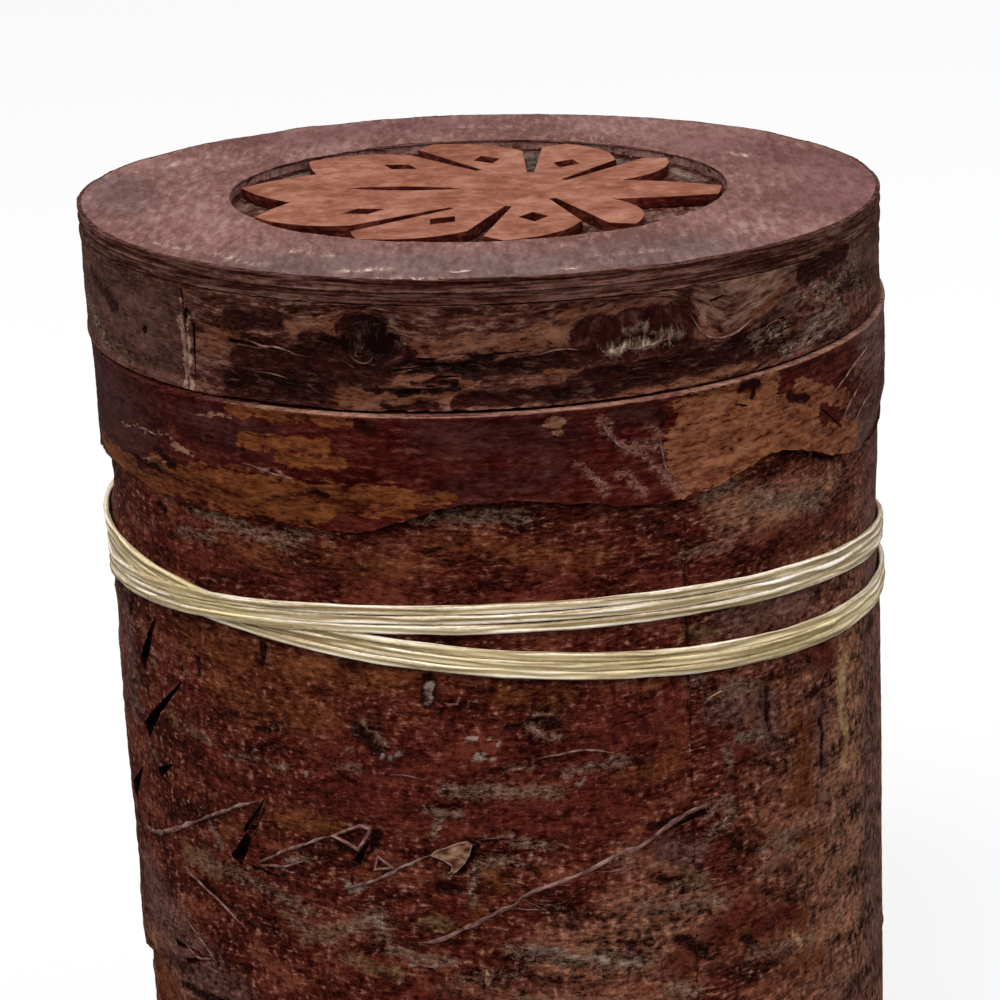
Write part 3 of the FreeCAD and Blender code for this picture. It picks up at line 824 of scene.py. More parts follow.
BODY_MARKS = {
    "orange": [
        (2.8, 0.66, [(-50, 46), (-30, 47), (-14, 46)]), (2.6, 0.62, [(-44, 52), (-26, 53)]),
        (2.0, 0.6, [(-40, 33.5), (-10, 33)]), (1.6, 0.6, [(-8, 30), (14, 33)]),
        (0.8, 1.0, [(20.6, 50), (22.4, 49.8)]), (1.0, 1.0, [(22.6, 57), (23.2, 58.6)]),
        (1.3, 0.9, [(16, 61), (22, 60)]), (1.5, 0.85, [(-33, 66.5), (-25, 66.2)]),
        (0.7, 0.9, [(-19.5, 63.4), (-14.6, 62.7)]), (1.2, 0.85, [(0.1, 49.1), (9, 49.5)]),
        (2.0, 0.85, [(48.4, 62), (47, 66), (46, 70)]), (2.2, 0.7, [(32, 84), (46, 86)]),
        (1.4, 0.9, [(-3, 70.8), (-1, 72.6)]), (1.2, 0.6, [(-46, 68), (-44, 70)]),
        (1.5, 0.8, [(-10, 77.6), (-5, 76.4)]), (1.1, 0.85, [(46, 59.3), (46.9, 63.1)]),
        (1.4, 0.9, [(47.6, 65.6), (47.8, 71)]), (1.0, 0.8, [(46.6, 76.2), (51.1, 77)]),
        (1.2, 0.8, [(23.6, 56), (24, 60)]), (1.2, 0.7, [(41.3, 86), (46.3, 87), (46.2, 90)]),
        (1.4, 0.7, [(42, 92), (50.6, 93.2)]),
    ],
    "red": [
        (4.6, 0.66, [(-24, 58), (20, 56)]), (3.0, 0.72, [(-10, 65), (16, 64)]),
        (3.0, 0.7, [(-26, 62), (-12, 63)]), (3.2, 0.6, [(-50, 60), (-40, 64)]),
        (2.2, 0.8, [(-14, 88), (0, 90)]), (2.6, 0.7, [(24, 86), (34, 82)]),
        (2.6, 0.6, [(-60, 36), (60, 36)]), (2.4, 0.7, [(20, 70), (30, 72)]),
        (2.0, 1.0, [(-39, 71), (-40.5, 73)]), (1.4, 0.9, [(-9, 75.6), (-7, 76.4)]),
        (2.4, 0.8, [(48, 50), (54, 54)]), (1.8, 0.7, [(28, 56), (36, 62)]),
        (1.6, 0.85, [(37.2, 84.7), (44.2, 84.6)]), (1.8, 0.75, [(23.7, 50.8), (23.9, 54)]),
    ],
    "plum": [
        (5.0, 0.95, [(-86, 36), (-82, 60), (-88, 80), (-84, 98)]),
        (3.0, 0.8, [(-72, 44), (-70, 60)]), (5.0, 0.8, [(-70, 86), (-46, 95)]),
        (6.0, 0.6, [(-98, 44), (-96, 90)]), (5.0, 1.0, [(74, 34), (72, 60), (70, 78), (72, 100)]),
        (2.6, 0.7, [(34, 44), (50, 45)]), (2.2, 0.8, [(31, 54.4), (40, 56)]),
        (1.6, 0.8, [(40, 56), (40.2, 61)]), (1.8, 0.75, [(22, 71), (27, 72)]),
        (1.6, 0.8, [(52, 60), (52, 68)]),
    ],
    # Stains, and painted shadows right of and below the flakes and beside the knife cuts
    "stain_and_shadow": [
        (0.45, 1.3, [(-35.3, 45), (-35.1, 47.2)]),
        (0.3, 1.2, [(-37.3, 55.8), (-35, 55.2), (-32.8, 55.2)]),
        (0.5, 1.0, [(-55, 30.5), (-53, 31)]), (0.35, 1.1, [(-52.5, 49.7), (-52.4, 51.7)]),
        (0.35, 1.1, [(-48.4, 49.1), (-48.3, 50.7)]), (0.4, 0.9, [(52.1, 61.1), (51.9, 68)]),
        (0.5, 0.85, [(39.8, 54), (40.4, 59.8)]),
        (0.35, 1.0, [(20.6, 74.6), (25.2, 75.4), (28.1, 77.3)]),
        (0.3, 1.0, [(20.4, 79), (25, 79.2), (29, 80.6)]), (0.3, 0.95, [(21, 76.4), (25.4, 77)]),
        (0.7, 0.85, [(34.6, 85.5), (36.6, 88)]), (0.5, 0.8, [(44, 74.8), (46, 76)]),
        (0.6, 0.9, [(20, 67.7), (27, 67.2)]), (1.0, 0.8, [(24, 83), (28, 86)]),
        (0.85, 1.0, [(-18.3, 66.6), (-19.4, 68.4)]), (0.7, 0.95, [(-19.6, 68.6), (-21.8, 70.8)]),
        (0.4, 1.05, [(-4.7, 67.7), (-5.2, 69.3), (-6.7, 71)]),
        (0.9, 0.8, [(-9.8, 73), (-7.6, 73.4)]),
        (0.3, 1.1, [(-39.5, 74.5), (-35, 74.2), (-33.1, 73.9)]), (0.7, 0.9, [(36, 86), (37, 88)]),
        (0.3, 1.0, [(-26.6, 69.4), (-21.8, 69.4)]), (0.6, 0.8, [(0, 53), (5, 52.4)]),
        (0.7, 0.8, [(-60, 96), (-40, 94)]), (0.2, 0.75, [(26.2, 47), (26.2, 55)]),
        (0.7, 1.1, [(-37.2, 66.2), (-41.6, 72.6)]), (0.7, 1.0, [(-68.4, 46.4), (-69.4, 48.1)]),
        (0.4, 1.1, [(-11.2, 46.4), (-9, 46.6)]), (0.95, 0.9, [(-10.1, 47.6), (-10.2, 49.8)]),
        (0.5, 0.8, [(-52, 79), (-40, 82.4)]), (0.6, 0.85, [(3, 82.6), (10, 84.4)]),
        (0.5, 1.0, [(12, 83), (18, 85)]), (0.5, 0.9, [(2.3, 70.9), (3.7, 71.5)]),
        (0.35, 1.0, [(-22.7, 72.7), (-22.5, 73.4)]), (1.0, 0.85, [(-20.6, 53.2), (-18, 56)]),
        (0.6, 0.8, [(5.6, 53), (7.6, 52.8)]),
    ],
    "lichen": [
        (1.2, 0.8, [(-46, 29), (-30, 31), (-26, 29.5)]), (0.9, 0.7, [(-50, 33), (-42, 32)]),
        (1.2, 0.85, [(-10, 26.5), (4, 27)]), (1.0, 0.7, [(26, 34.5), (34, 34.5)]),
        (1.4, 0.85, [(30, 28), (34, 27)]), (1.8, 0.86, [(38, 30), (52, 33)]),
        (0.7, 0.95, [(-19.3, 52.3), (-17.9, 53.8), (-16.7, 55.4)]),
        (0.4, 0.9, [(-22, 56.2), (-20.6, 56.6)]),
        (0.55, 0.95, [(3.8, 53.2), (5.7, 54.4), (7.6, 54.2)]),
        (0.45, 0.9, [(4.3, 51.8), (7.6, 51.7)]), (0.4, 0.9, [(-0.2, 58.2), (2, 57.9), (3.6, 58)]),
        (1.1, 0.8, [(-8.5, 60.6), (-0.1, 60.8), (7.2, 61.4)]),
        (0.6, 0.75, [(-23.9, 58.4), (-20.8, 58.6)]),
        (0.4, 0.9, [(-43, 59.9), (-35.4, 59.4), (-31.5, 60)]), (0.9, 0.75, [(8, 59), (17, 58.5)]),
        (0.7, 0.8, [(-8.7, 60.2), (-5.7, 60.9)]), (0.8, 0.9, [(-10.8, 63.3), (-6.7, 63.8)]),
        (0.75, 1.0, [(-9.9, 64.7), (-9.9, 66.3)]),
        (0.5, 1.15, [(-4.8, 70.9), (-5.3, 72.2), (-5.5, 73.5), (-5.2, 75.5)]),
        (0.5, 0.95, [(-4.3, 66.9), (-2.9, 66.8)]), (0.3, 0.9, [(-1.7, 66.9), (0.4, 66.6)]),
        (0.7, 0.85, [(0.4, 67.3), (3.1, 67.8), (5.9, 68.4)]),
        (0.65, 0.95, [(-3.9, 69.9), (-1.1, 69.6), (1.8, 70.5)]),
        (1.1, 0.8, [(29.7, 53), (33.6, 52.4), (37.7, 53.5)]),
        (0.9, 0.9, [(34.6, 59.6), (38.4, 58.9)]),
        (1.0, 0.85, [(28.4, 67.3), (32.3, 66.3), (33, 69), (29.1, 70.5)]),
        (0.6, 0.9, [(37.4, 69.4), (38, 70.4)]), (0.8, 0.9, [(38, 74.8), (44, 73.8)]),
        (0.7, 0.85, [(41.6, 75.4), (45.5, 76.6)]),
        (0.45, 1.0, [(56.3, 78.8), (56.9, 82.8), (56.2, 87), (56, 90.4)]),
        (0.4, 0.95, [(22.8, 75.7), (26, 76.2)]),
        (0.5, 0.95, [(22, 78.1), (26.6, 78.6), (31.1, 80)]), (1.0, 0.75, [(40, 88.6), (50, 90)]),
        (1.2, 0.85, [(22.4, 89.2), (26, 90.6)]), (0.5, 0.8, [(55.4, 73), (56, 76)]),
        (0.8, 0.85, [(26.4, 49.8), (28.5, 50.5)]), (0.7, 0.85, [(32.4, 60), (32.8, 63)]),
        (0.8, 1.0, [(-47.5, 70.7), (-45.6, 72.6)]), (1.2, 0.66, [(-50, 75), (-43.4, 75.8)]),
        (1.0, 0.72, [(-43.4, 75.6), (-35.7, 76.8), (-28, 78.2)]),
        (1.4, 0.8, [(-24, 79.6), (-19, 77.4), (-18.6, 80)]),
        (0.8, 0.9, [(-18, 81.6), (-13, 82.4), (-9, 82.8)]),
        (0.5, 0.9, [(-31, 70.6), (-28.6, 71.6)]), (1.4, 0.78, [(0, 81.6), (8, 83), (18, 85)]),
        (1.1, 0.7, [(18, 78), (32, 79.5)]), (1.0, 0.7, [(-8, 85), (0, 84.6)]),
        (1.0, 0.7, [(38, 78), (46, 74)]), (0.9, 0.65, [(-56, 58), (-46, 59)]),
        (1.1, 0.65, [(52, 72), (58, 70)]), (1.1, 0.65, [(36, 88), (48, 90)]),
        (1.1, 0.7, [(0, 88), (14, 90)]), (1.0, 0.75, [(-34, 79.6), (-26, 81.6)]),
        (0.8, 0.8, [(-64, 48), (-60, 52)]), (0.8, 0.8, [(-64.6, 64), (-60, 66)]),
        (0.5, 0.8, [(4.4, 75.2), (7, 76.4)]),
    ],
    "white": [
        (0.22, 1.1, [(-14.8, 83.1), (-12.4, 83.3), (-10.4, 83.6)]),
        (0.25, 1.0, [(-29.3, 59.4), (-28.6, 60.3)]), (0.2, 0.9, [(-28.2, 60.9), (-27.7, 61.1)]),
        (0.35, 1.05, [(-32.9, 72), (-30.8, 71.4)]),
        (0.42, 0.95, [(-23.7, 73.4), (-22.6, 74.5), (-20.9, 73.7)]),
        (0.45, 1.0, [(-10.1, 47.7), (-10.2, 49.5)]),
        (0.3, 1.0, [(-17.4, 56.5), (-16, 57), (-14.1, 56)]),
        (0.2, 0.9, [(-5.3, 54.3), (-3.6, 54.3)]), (0.2, 0.8, [(-2.2, 54.3), (-0.6, 54.7)]),
        (0.3, 0.8, [(-4.6, 56.4), (-3.1, 56.3)]), (0.3, 0.75, [(-2.3, 56.6), (-1.1, 56.5)]),
        (0.3, 0.9, [(3.2, 69.2), (4.2, 70.1)]), (0.4, 0.7, [(1.8, 81.2), (8, 82.8), (17.6, 85.4)]),
        (0.3, 0.9, [(-40.6, 73.6), (-40.2, 74.6)]), (0.4, 0.8, [(-19.6, 77.6), (-18.4, 78.6)]),
        (0.3, 0.8, [(9.6, 60.6), (10.8, 60.4)]), (0.3, 0.8, [(13.4, 58.6), (14.8, 58.2)]),
        (0.3, 0.8, [(34.6, 59), (36, 59.4)]), (0.3, 0.8, [(-36.6, 65.2), (-36.2, 65.6)]),
        (0.3, 0.75, [(-3.9, 66.8), (-3.2, 66.7)]), (0.22, 0.8, [(-44, 73.2), (-42.6, 73.8)]),
        (0.3, 0.85, [(37.6, 58.9), (38.3, 60)]), (0.22, 0.9, [(42.4, 69.8), (42.7, 71)]),
        (0.22, 0.9, [(43.6, 73.6), (44.4, 73.9)]), (0.3, 0.8, [(-8.4, 71.6), (-8.8, 71.4)]),
    ],
    "straw": [
        (0.7, 1.2, [(58.6, 57), (57.6, 61.9), (58.9, 65.4), (58.2, 69.6)]),
        (1.4, 0.75, [(58.6, 56), (57.6, 60)]), (0.5, 0.8, [(44, 88), (46.4, 90)]),
    ],
    "yellow": [
        (1.0, 0.9, [(27, 44.4), (31.6, 45.2)]), (0.7, 0.9, [(38.9, 45.8), (41.3, 46)]),
        (0.9, 0.8, [(56, 78), (58, 79)]), (0.8, 0.9, [(25.9, 76.5), (28.9, 77.3)]),
        (1.0, 0.75, [(-26, 80), (-31, 82)]), (1.4, 0.8, [(-55, 76), (-47, 76.6)]),
        (0.9, 0.8, [(-12.3, 77.7), (-9.4, 77.9)]), (1.0, 0.65, [(24, 74), (28, 76)]),
        (1.0, 0.65, [(54, 82), (57, 83)]), (1.0, 0.75, [(-24, 83.6), (-16, 85)]),
    ],
}
OLD_STROKES = [
    (3.0, 0.75, [(34, 31), (56, 33)]), (5.0, 0.62, [(8, 83), (26, 83)]),
    (4.0, 0.68, [(-8, 90), (20, 94)]), (2.2, 0.6, [(14, 77), (26, 77)]),
    (2.0, 0.6, [(16, 71), (24, 72)]), (3.0, 0.6, [(-80, 92), (-60, 96)]),
]
# How many strokes more on the far side and the foot, their half width and strength
BODY_UNSEEN = {
    "orange": (20, 2.6, 0.75), "red": (20, 3.4, 0.8), "plum": (14, 4.0, 0.7),
    "stain_and_shadow": (22, 0.5, 0.95), "lichen": (44, 1.0, 0.85), "yellow": (10, 1.2, 0.8),
    "white": (16, 0.25, 0.9),
}
BODY_CUTS = [
    Cut((-36.3, 64.6), (-40.3, 70.0), 1.5, 1.1), Cut((-37.6, 66.4), (-42.4, 73.9), 2.0, 1.6),
    Cut((-18.4, 65.8), (-21.8, 70.8), 1.2, 0.8), Cut((-4.8, 67.4), (-7.0, 71.2), 0.7, 0.6),
    Cut((-58.0, 44.6), (-64.6, 53.6), 2.3, 1.5), Cut((-52.2, 52.8), (-64.6, 62.4), 2.2, 1.6),
    Cut((-67.6, 68.4), (-75.6, 74.4), 2.6, 1.5), Cut((-56.2, 64.6), (-60.6, 67.0), 1.4, 1.0),
    Cut((-33.0, 74.6), (-39.6, 74.2), 0.7, 0.5), Cut((-48.5, 88.6), (-57.0, 91.8), 0.7, 0.5),
    Cut((-50.0, 89.0), (-60.0, 90.2), 0.7, 0.5), Cut((20.0, 68.8), (28.6, 67.3), 0.7, 0.5),
]
BODY_FIBRES = [
    (0.3, [(-70.4, 76.6), (-65.7, 76.6), (-60, 74.8), (-54.6, 72.5), (-50, 70.4)]),
    (0.22, [(-51, 70.8), (-47, 69.0), (-41.4, 66.5), (-37.0, 64.8)]),
    (0.2, [(-38.4, 73.4), (-33.3, 70.8), (-29.1, 69.0), (-25.1, 67.4)]),
    (0.18, [(-38, 73.4), (-34.8, 73.0), (-32.2, 72.4), (-29.6, 71.4)]),
    (0.3, [(-21.8, 65.9), (-20.4, 65.5), (-19.2, 66.0), (-19.8, 67.4)]),
    (0.22, [(-24.2, 74.5), (-18.7, 72.5), (-15.3, 70.8), (-13.1, 69.8), (-10.7, 68.8)]),
    (0.29, [(29.2, 66.5), (25, 66.9), (18.2, 69.7), (14.8, 70.4), (9.1, 72.3), (4.8, 73.3),
        (2.9, 73.9), (1.4, 74.5), (0.1, 75.5)]),
    (0.27, [(1.6, 74.6), (0.1, 75.5), (-1.4, 76.0), (-4.9, 77.6), (-6.6, 78.3), (-10.7, 80.1),
        (-13.4, 80.3)]), (0.16, [(-0.2, 75.9), (2.5, 76.2), (4.6, 76.3)]),
    (0.14, [(1.2, 74.7), (3.2, 75.7), (4.4, 76.3)]),
    (0.14, [(-2.4, 72.8), (-0.4, 72.6), (1.4, 73.1)]),
    (0.15, [(-16.1, 58.8), (-13.3, 58.8), (-11.1, 59.3)]),
    (0.16, [(-15.0, 83.0), (-12.9, 83.4), (-10.2, 83.6)]), (0.14, [(-8.1, 66.5), (-7.2, 67.3)]),
    (0.15, [(-56, 78), (-47.3, 80.2), (-40.9, 83)]),
    (0.15, [(-56.6, 85.1), (-52.5, 87.0), (-48.4, 89.2)]),
    (0.16, [(-58, 88.8), (-53.1, 90), (-48.8, 88.9)]), (0.14, [(4, 57), (10, 56.4), (15, 57.2)]),
    (0.14, [(-48.3, 70.2), (-46, 71.6), (-45.4, 73)]),
    (0.14, [(-4, 66.9), (-2.1, 66.7), (0, 66.6)]), (0.14, [(11.6, 72), (14, 72.4), (17, 72.3)]),
    (0.14, [(31, 52.6), (33.4, 52), (36.2, 52.6)]),
]
# Corners by azimuth, drop and lift
FLAP = [
    (-10.9, 68.8, 0.1), (-10.0, 68.1, 0.15), (-8.6, 67.7, 0.2), (-7.1, 67.1, 0.3),
    (-5.7, 66.8, 0.4), (-5.0, 67.3, 0.5), (-5.4, 68.5, 0.6), (-6.1, 69.6, 0.5),
    (-6.7, 70.2, 0.4), (-7.6, 71.0, 0.3), (-8.2, 71.9, 0.2), (-9.1, 71.5, 0.15),
    (-8.1, 70.7, 0.2), (-8.0, 70.1, 0.2), (-9.1, 69.4, 0.15),
]
BODY_FLAKES = [
    (0.32, [(-25.3, 67.4, 0.1), (-22.7, 66.2, 0.15), (-20.6, 65.4, 0.3), (-18.9, 65.7, 0.45),
            (-19.4, 66.8, 0.5), (-21.0, 68.8, 0.5), (-22.8, 68.1, 0.3), (-24.2, 67.7, 0.2)]),
    (0, FLAP),
    (0.17, [(turn, drop, lift + 0.12) for turn, drop, lift in FLAP]),
    (0.22, [(-18.4, 69.2, 0.2), (-16.0, 70.7, 0.25), (-19.1, 71.3, 0.1)]),
    (0, [(-4.0, 83.7, 0.1), (-3.2, 84.8, 0.3), (-3.9, 86.3, 0.1), (-4.3, 85.0, 0.2)]),
    (0, [(29.0, 52.9, 0.0), (31.4, 52.2, 0.2), (31.8, 52.9, 0.1)]),
]


def waist(heights):
    """How far the wall draws in at each height, as deep as in the model."""
    reach = (MOUTH - WAIST_DROP - heights) / WAIST_REACH
    return WAIST_DEPTH * np.clip(1 - reach ** 2, 0, 1) ** 2


def body_flow(turn, drop):
    """The grain sags under the lowest cuts and slants at the lower left."""
    sag = -3.0 * hump(turn, -14, 30) * hump(drop, 80, 12)
    slant = -0.18 * (turn + 60) * hump(turn, -55, 22) * hump(drop, 86, 12)
    return sag + slant


def drawn_in(turn, drop):
    """How far the left side leans in at the mouth and out below the tie, and the right one out."""
    mouth = 1.1 * ramp(drop, 38, 34)
    below_tie = 0.4 * hump(drop, 47, 5)
    right = 0.2 * hump(turn, 84, 24) * ramp(drop, 30, 36)
    return (hump(turn, -88, 26) * (mouth - below_tie) - right) * MM


def stepped(turn, drop):
    """How far the wall steps in at the lower left, where a layer of bark has broken off."""
    depth = 0.8 * MM
    edge = 98.5 - 0.28 * (turn + 82)
    reach = ramp(turn, -58, -66) * ramp(turn, -125, -105)
    return depth * ramp(drop - edge, 0, 0.7) * reach


def body_wall(cut_material, fibre_material, flake_material):
    piece = turned(
        "bark_wall", BODY_RADIUS - BODY_WALL, BODY_RADIUS, BODY_LOW, MOUTH,
        (46, 0, 0), [(58.4, 24), (190, 42), (111.52, 46)], start=26.54,
    )
    points = points_of(piece)
    face = radii_of(points) > BODY_RADIUS - HAIR
    turn = azimuths(points)
    drop = drops(points)
    inwards = waist(points[:, 2]) + drawn_in(turn, drop) + stepped(turn, drop)
    points[:, :2] *= np.where(face, 1 - inwards / BODY_RADIUS, 1.0)[:, None]
    move_points(piece, points)
    lay_out(piece, BODY_RADIUS, BODY_SEAM, body_flow)
    fade = np.clip((MOUTH - 8 * MM - points[:, 2]) / (3 * MM), 0.08, 1)
    fade *= np.clip((points[:, 2] - BODY_LOW) / (1.5 * MM), 0.1, 1)
    fade *= 1 - 0.6 * ramp(turn, 50, 75) * ramp(turn, 140, 120)
    mark(piece, "face", face * fade)
    # Just under the open stretches of the band's wavy edge the wall is pressed in and painted near
    # black: painted shade under the band
    under = (band_edge(turn) - points[:, 2]) / MM
    open_edge = ramp(turn, -24, -20) * ramp(turn, 62, 58)
    open_edge *= 1 - 0.8 * hump(turn, 26, 4)
    mark(piece, "gap", face * open_edge * np.clip(1.5 - np.abs(under - 0.1) / 0.45, 0, 1))
    off_seam = (turn - BODY_SEAM) % 360
    low = np.clip((MOUTH - points[:, 2]) / (45 * MM), 0.3, 1)
    right = ramp(off_seam, 0, 36) * ramp(off_seam, 150, 80)
    old_strokes = OLD_STROKES + unseen(20, 10, 5.0, 0.7)
    old = face * brushed(piece, BODY_RADIUS, old_strokes)
    mark(piece, "old_side", np.maximum(0.85 * right * low, old))
    slant = np.clip(off_seam / 20, 0, 0.5) + 0.5 * ramp(off_seam, 30, 42) * right
    left = 0.4 * ramp(turn, -30, -50) * ramp(drop, 78, 70)
    keep(piece, "crosswise", np.maximum(slant * low, left))
    marks = {}
    for number, (name, strokes) in enumerate(BODY_MARKS.items()):
        more = unseen(number, *BODY_UNSEEN[name]) if name in BODY_UNSEEN else []
        marks[name] = strokes + more
    painted(piece, BODY_RADIUS, marks, face)
    roughened(piece, 14 * MM, 0.5 * MM, "face_weight", "along", depth=1, level=0.5)
    roughened(piece, 2.0 * MM, 0.4 * MM, "face_weight", "along", depth=3, hard=True, level=0.4)
    roughened(piece, 1.3 * MM, 0.5 * MM, "lichen_weight", "sheet", depth=2, hard=True, level=0.3)
    pressed(piece, -0.35 * MM, "stain_and_shadow_weight")
    pressed(piece, -0.5 * MM, "gap_weight")
    knife_cuts(piece, BODY_RADIUS - 0.05 * MM, BODY_CUTS, cut_material)
    smooth(piece, 60)
    raised = fibres("fibre", BODY_RADIUS + 0.12 * MM, BODY_FIBRES, 40, fibre_material)
    raised += flakes(
        "flake", BODY_RADIUS + 0.15 * MM, BODY_FLAKES, flake_material, fibre_material
    )
    return joined(piece, raised)


# Mouth band

BAND_MARKS = {
    "plum": [
        (6.0, 0.9, [(-84, 20), (-56, 20)]), (2.6, 0.7, [(-44, 17.5), (-30, 18.5)]),
        (1.3, 0.95, [(17, 15.9), (21.4, 16.4)]), (2.0, 0.6, [(-6, 23), (8, 22)]),
        (2.4, 0.7, [(-8, 17), (10, 17.6)]),
    ],
    "worn": [
        (5.0, 1.1, [(68, 16), (86, 19)]), (3.4, 0.9, [(60, 27), (86, 27)]),
        (4.0, 0.75, [(86, 18), (96, 21)]), (2.6, 0.6, [(92, 24), (106, 19)]),
        (2.0, 0.55, [(112, 22), (124, 18)]), (3.0, 0.6, [(176, 20), (192, 17)]),
        (2.4, 0.6, [(222, 16), (238, 20)]),
    ],
    "ochre": [
        (1.8, 0.9, [(-76, 27.5), (-60, 26.8)]), (1.4, 0.95, [(-62, 27.8), (-50, 27.2)]),
        (2.2, 1.0, [(-52, 25.4), (-40, 26)]), (2.6, 1.1, [(-42, 25.4), (-24, 25.4)]),
        (1.8, 1.0, [(-24, 24.5), (-12, 24.6)]), (0.7, 0.9, [(-13, 24.2), (-5, 24.0)]),
        (0.7, 1.0, [(-36, 15.2), (-18, 15.2)]), (1.0, 1.05, [(-34, 18.8), (-22, 18.4)]),
        (0.8, 0.95, [(-28, 20.4), (-20, 20.4)]), (1.8, 0.85, [(128, 24), (142, 25)]),
        (1.4, 0.85, [(198, 24), (214, 25.4)]), (1.2, 0.8, [(246, 16), (256, 17)]),
    ],
    "tan": [
        (1.9, 1.1, [(26.8, 16.8), (40, 16.4)]), (2.4, 1.1, [(25.6, 20.4), (48, 20.6)]),
        (2.2, 1.1, [(26.0, 24.2), (48, 23.4)]), (1.9, 1.1, [(46, 24.5), (60, 27)]),
        (0.9, 0.85, [(26, 26), (33, 25)]), (1.2, 0.95, [(46, 17.6), (58, 22)]),
    ],
    "pale": [
        (0.2, 0.85, [(-50.6, 20.2), (-46, 20.8)]), (0.4, 0.8, [(-47.6, 21), (-43.6, 22)]),
        (0.2, 0.8, [(-62, 21.4), (-54, 20.6)]), (0.2, 0.8, [(-34.4, 21.4), (-30, 22), (-27, 22.6)]),
        (0.2, 0.8, [(-56, 24.4), (-50, 23.8)]), (0.5, 1.1, [(7.4, 15.6), (9, 16.2)]),
        (0.3, 1.0, [(8.4, 17), (9.4, 17.3)]), (0.25, 0.8, [(-42, 16.6), (-36, 16.2)]),
    ],
    "crumbs": [
        (0.5, 1.0, [(14.4, 15.6), (15.4, 17.8), (17.6, 20.2)]),
        (0.7, 0.9, [(18.6, 20), (22, 23), (25, 26)]), (0.6, 0.85, [(17, 22.6), (20, 25.6)]),
        (0.6, 0.9, [(17, 19.2), (22.2, 20.2)]), (0.5, 0.85, [(20.8, 17.6), (22.4, 18.8)]),
        (0.5, 0.8, [(60, 20), (64, 18.4)]), (0.5, 0.8, [(11, 21), (15, 24.6)]),
    ],
    "stain_and_shadow": [
        (0.8, 1.0, [(-16.5, 16), (-15.5, 16)]), (0.6, 1.0, [(35.4, 15.4), (38.2, 15.8)]),
        (0.35, 1.0, [(37.6, 16.2), (37, 17)]), (0.3, 0.9, [(22.6, 16.2), (23.2, 17.6), (22, 19)]),
        (0.5, 0.9, [(44, 18.2), (48, 19.4)]), (0.5, 1.0, [(-52, 22.6), (-48, 24)]),
        (0.4, 1.0, [(-58, 25), (-52, 25.4)]), (0.3, 1.0, [(-24.6, 24.2), (-22, 24.2)]),
    ],
}
BAND_CRACKS = [
    Cut((50.0, 20.6), (44.0, 19.0), 0.35, 0.3), Cut((60.0, 27.4), (51.0, 21.4), 0.3, 0.25),
    Cut((31.2, 16.4), (36.0, 17.8), 0.4, 0.3),
]
BAND_FIBRES = [
    (0.16, [(53, 20.4), (57, 19.0), (62, 17.6), (66, 17.0)]),
    (0.14, [(56, 24.4), (59, 22.2), (63, 20.8)]), (0.15, [(59, 25.6), (64, 23.6), (68, 23.4)]),
    (0.13, [(-57, 21.0), (-54, 20.5), (-50, 20.7)]),
    (0.13, [(14.0, 15.2), (14.8, 17.2), (16.6, 19.4), (18.8, 20.8)]),
    (0.13, [(17.2, 22.6), (19, 24.4), (20, 26)]),
    (0.14, [(22.2, 18.4), (22.6, 21.0), (23.2, 23.2), (24.6, 24.4)]),
    (0.12, [(-34.4, 21.4), (-31, 22), (-27, 22.7)]),
]


def band_edge(turn):
    """How low the band hangs at each azimuth, read from the model's wavy edge."""
    edge = np.array([v.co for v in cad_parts["mouth_band"].data.vertices])
    outer = radii_of(edge) > BAND_RADIUS - 0.05 * MM
    edge = edge[outer & (edge[:, 2] < MOUTH - 5 * MM)]
    around = azimuths(edge)
    order = np.argsort(around)
    return np.interp(turn, around[order], edge[order, 2], period=360)


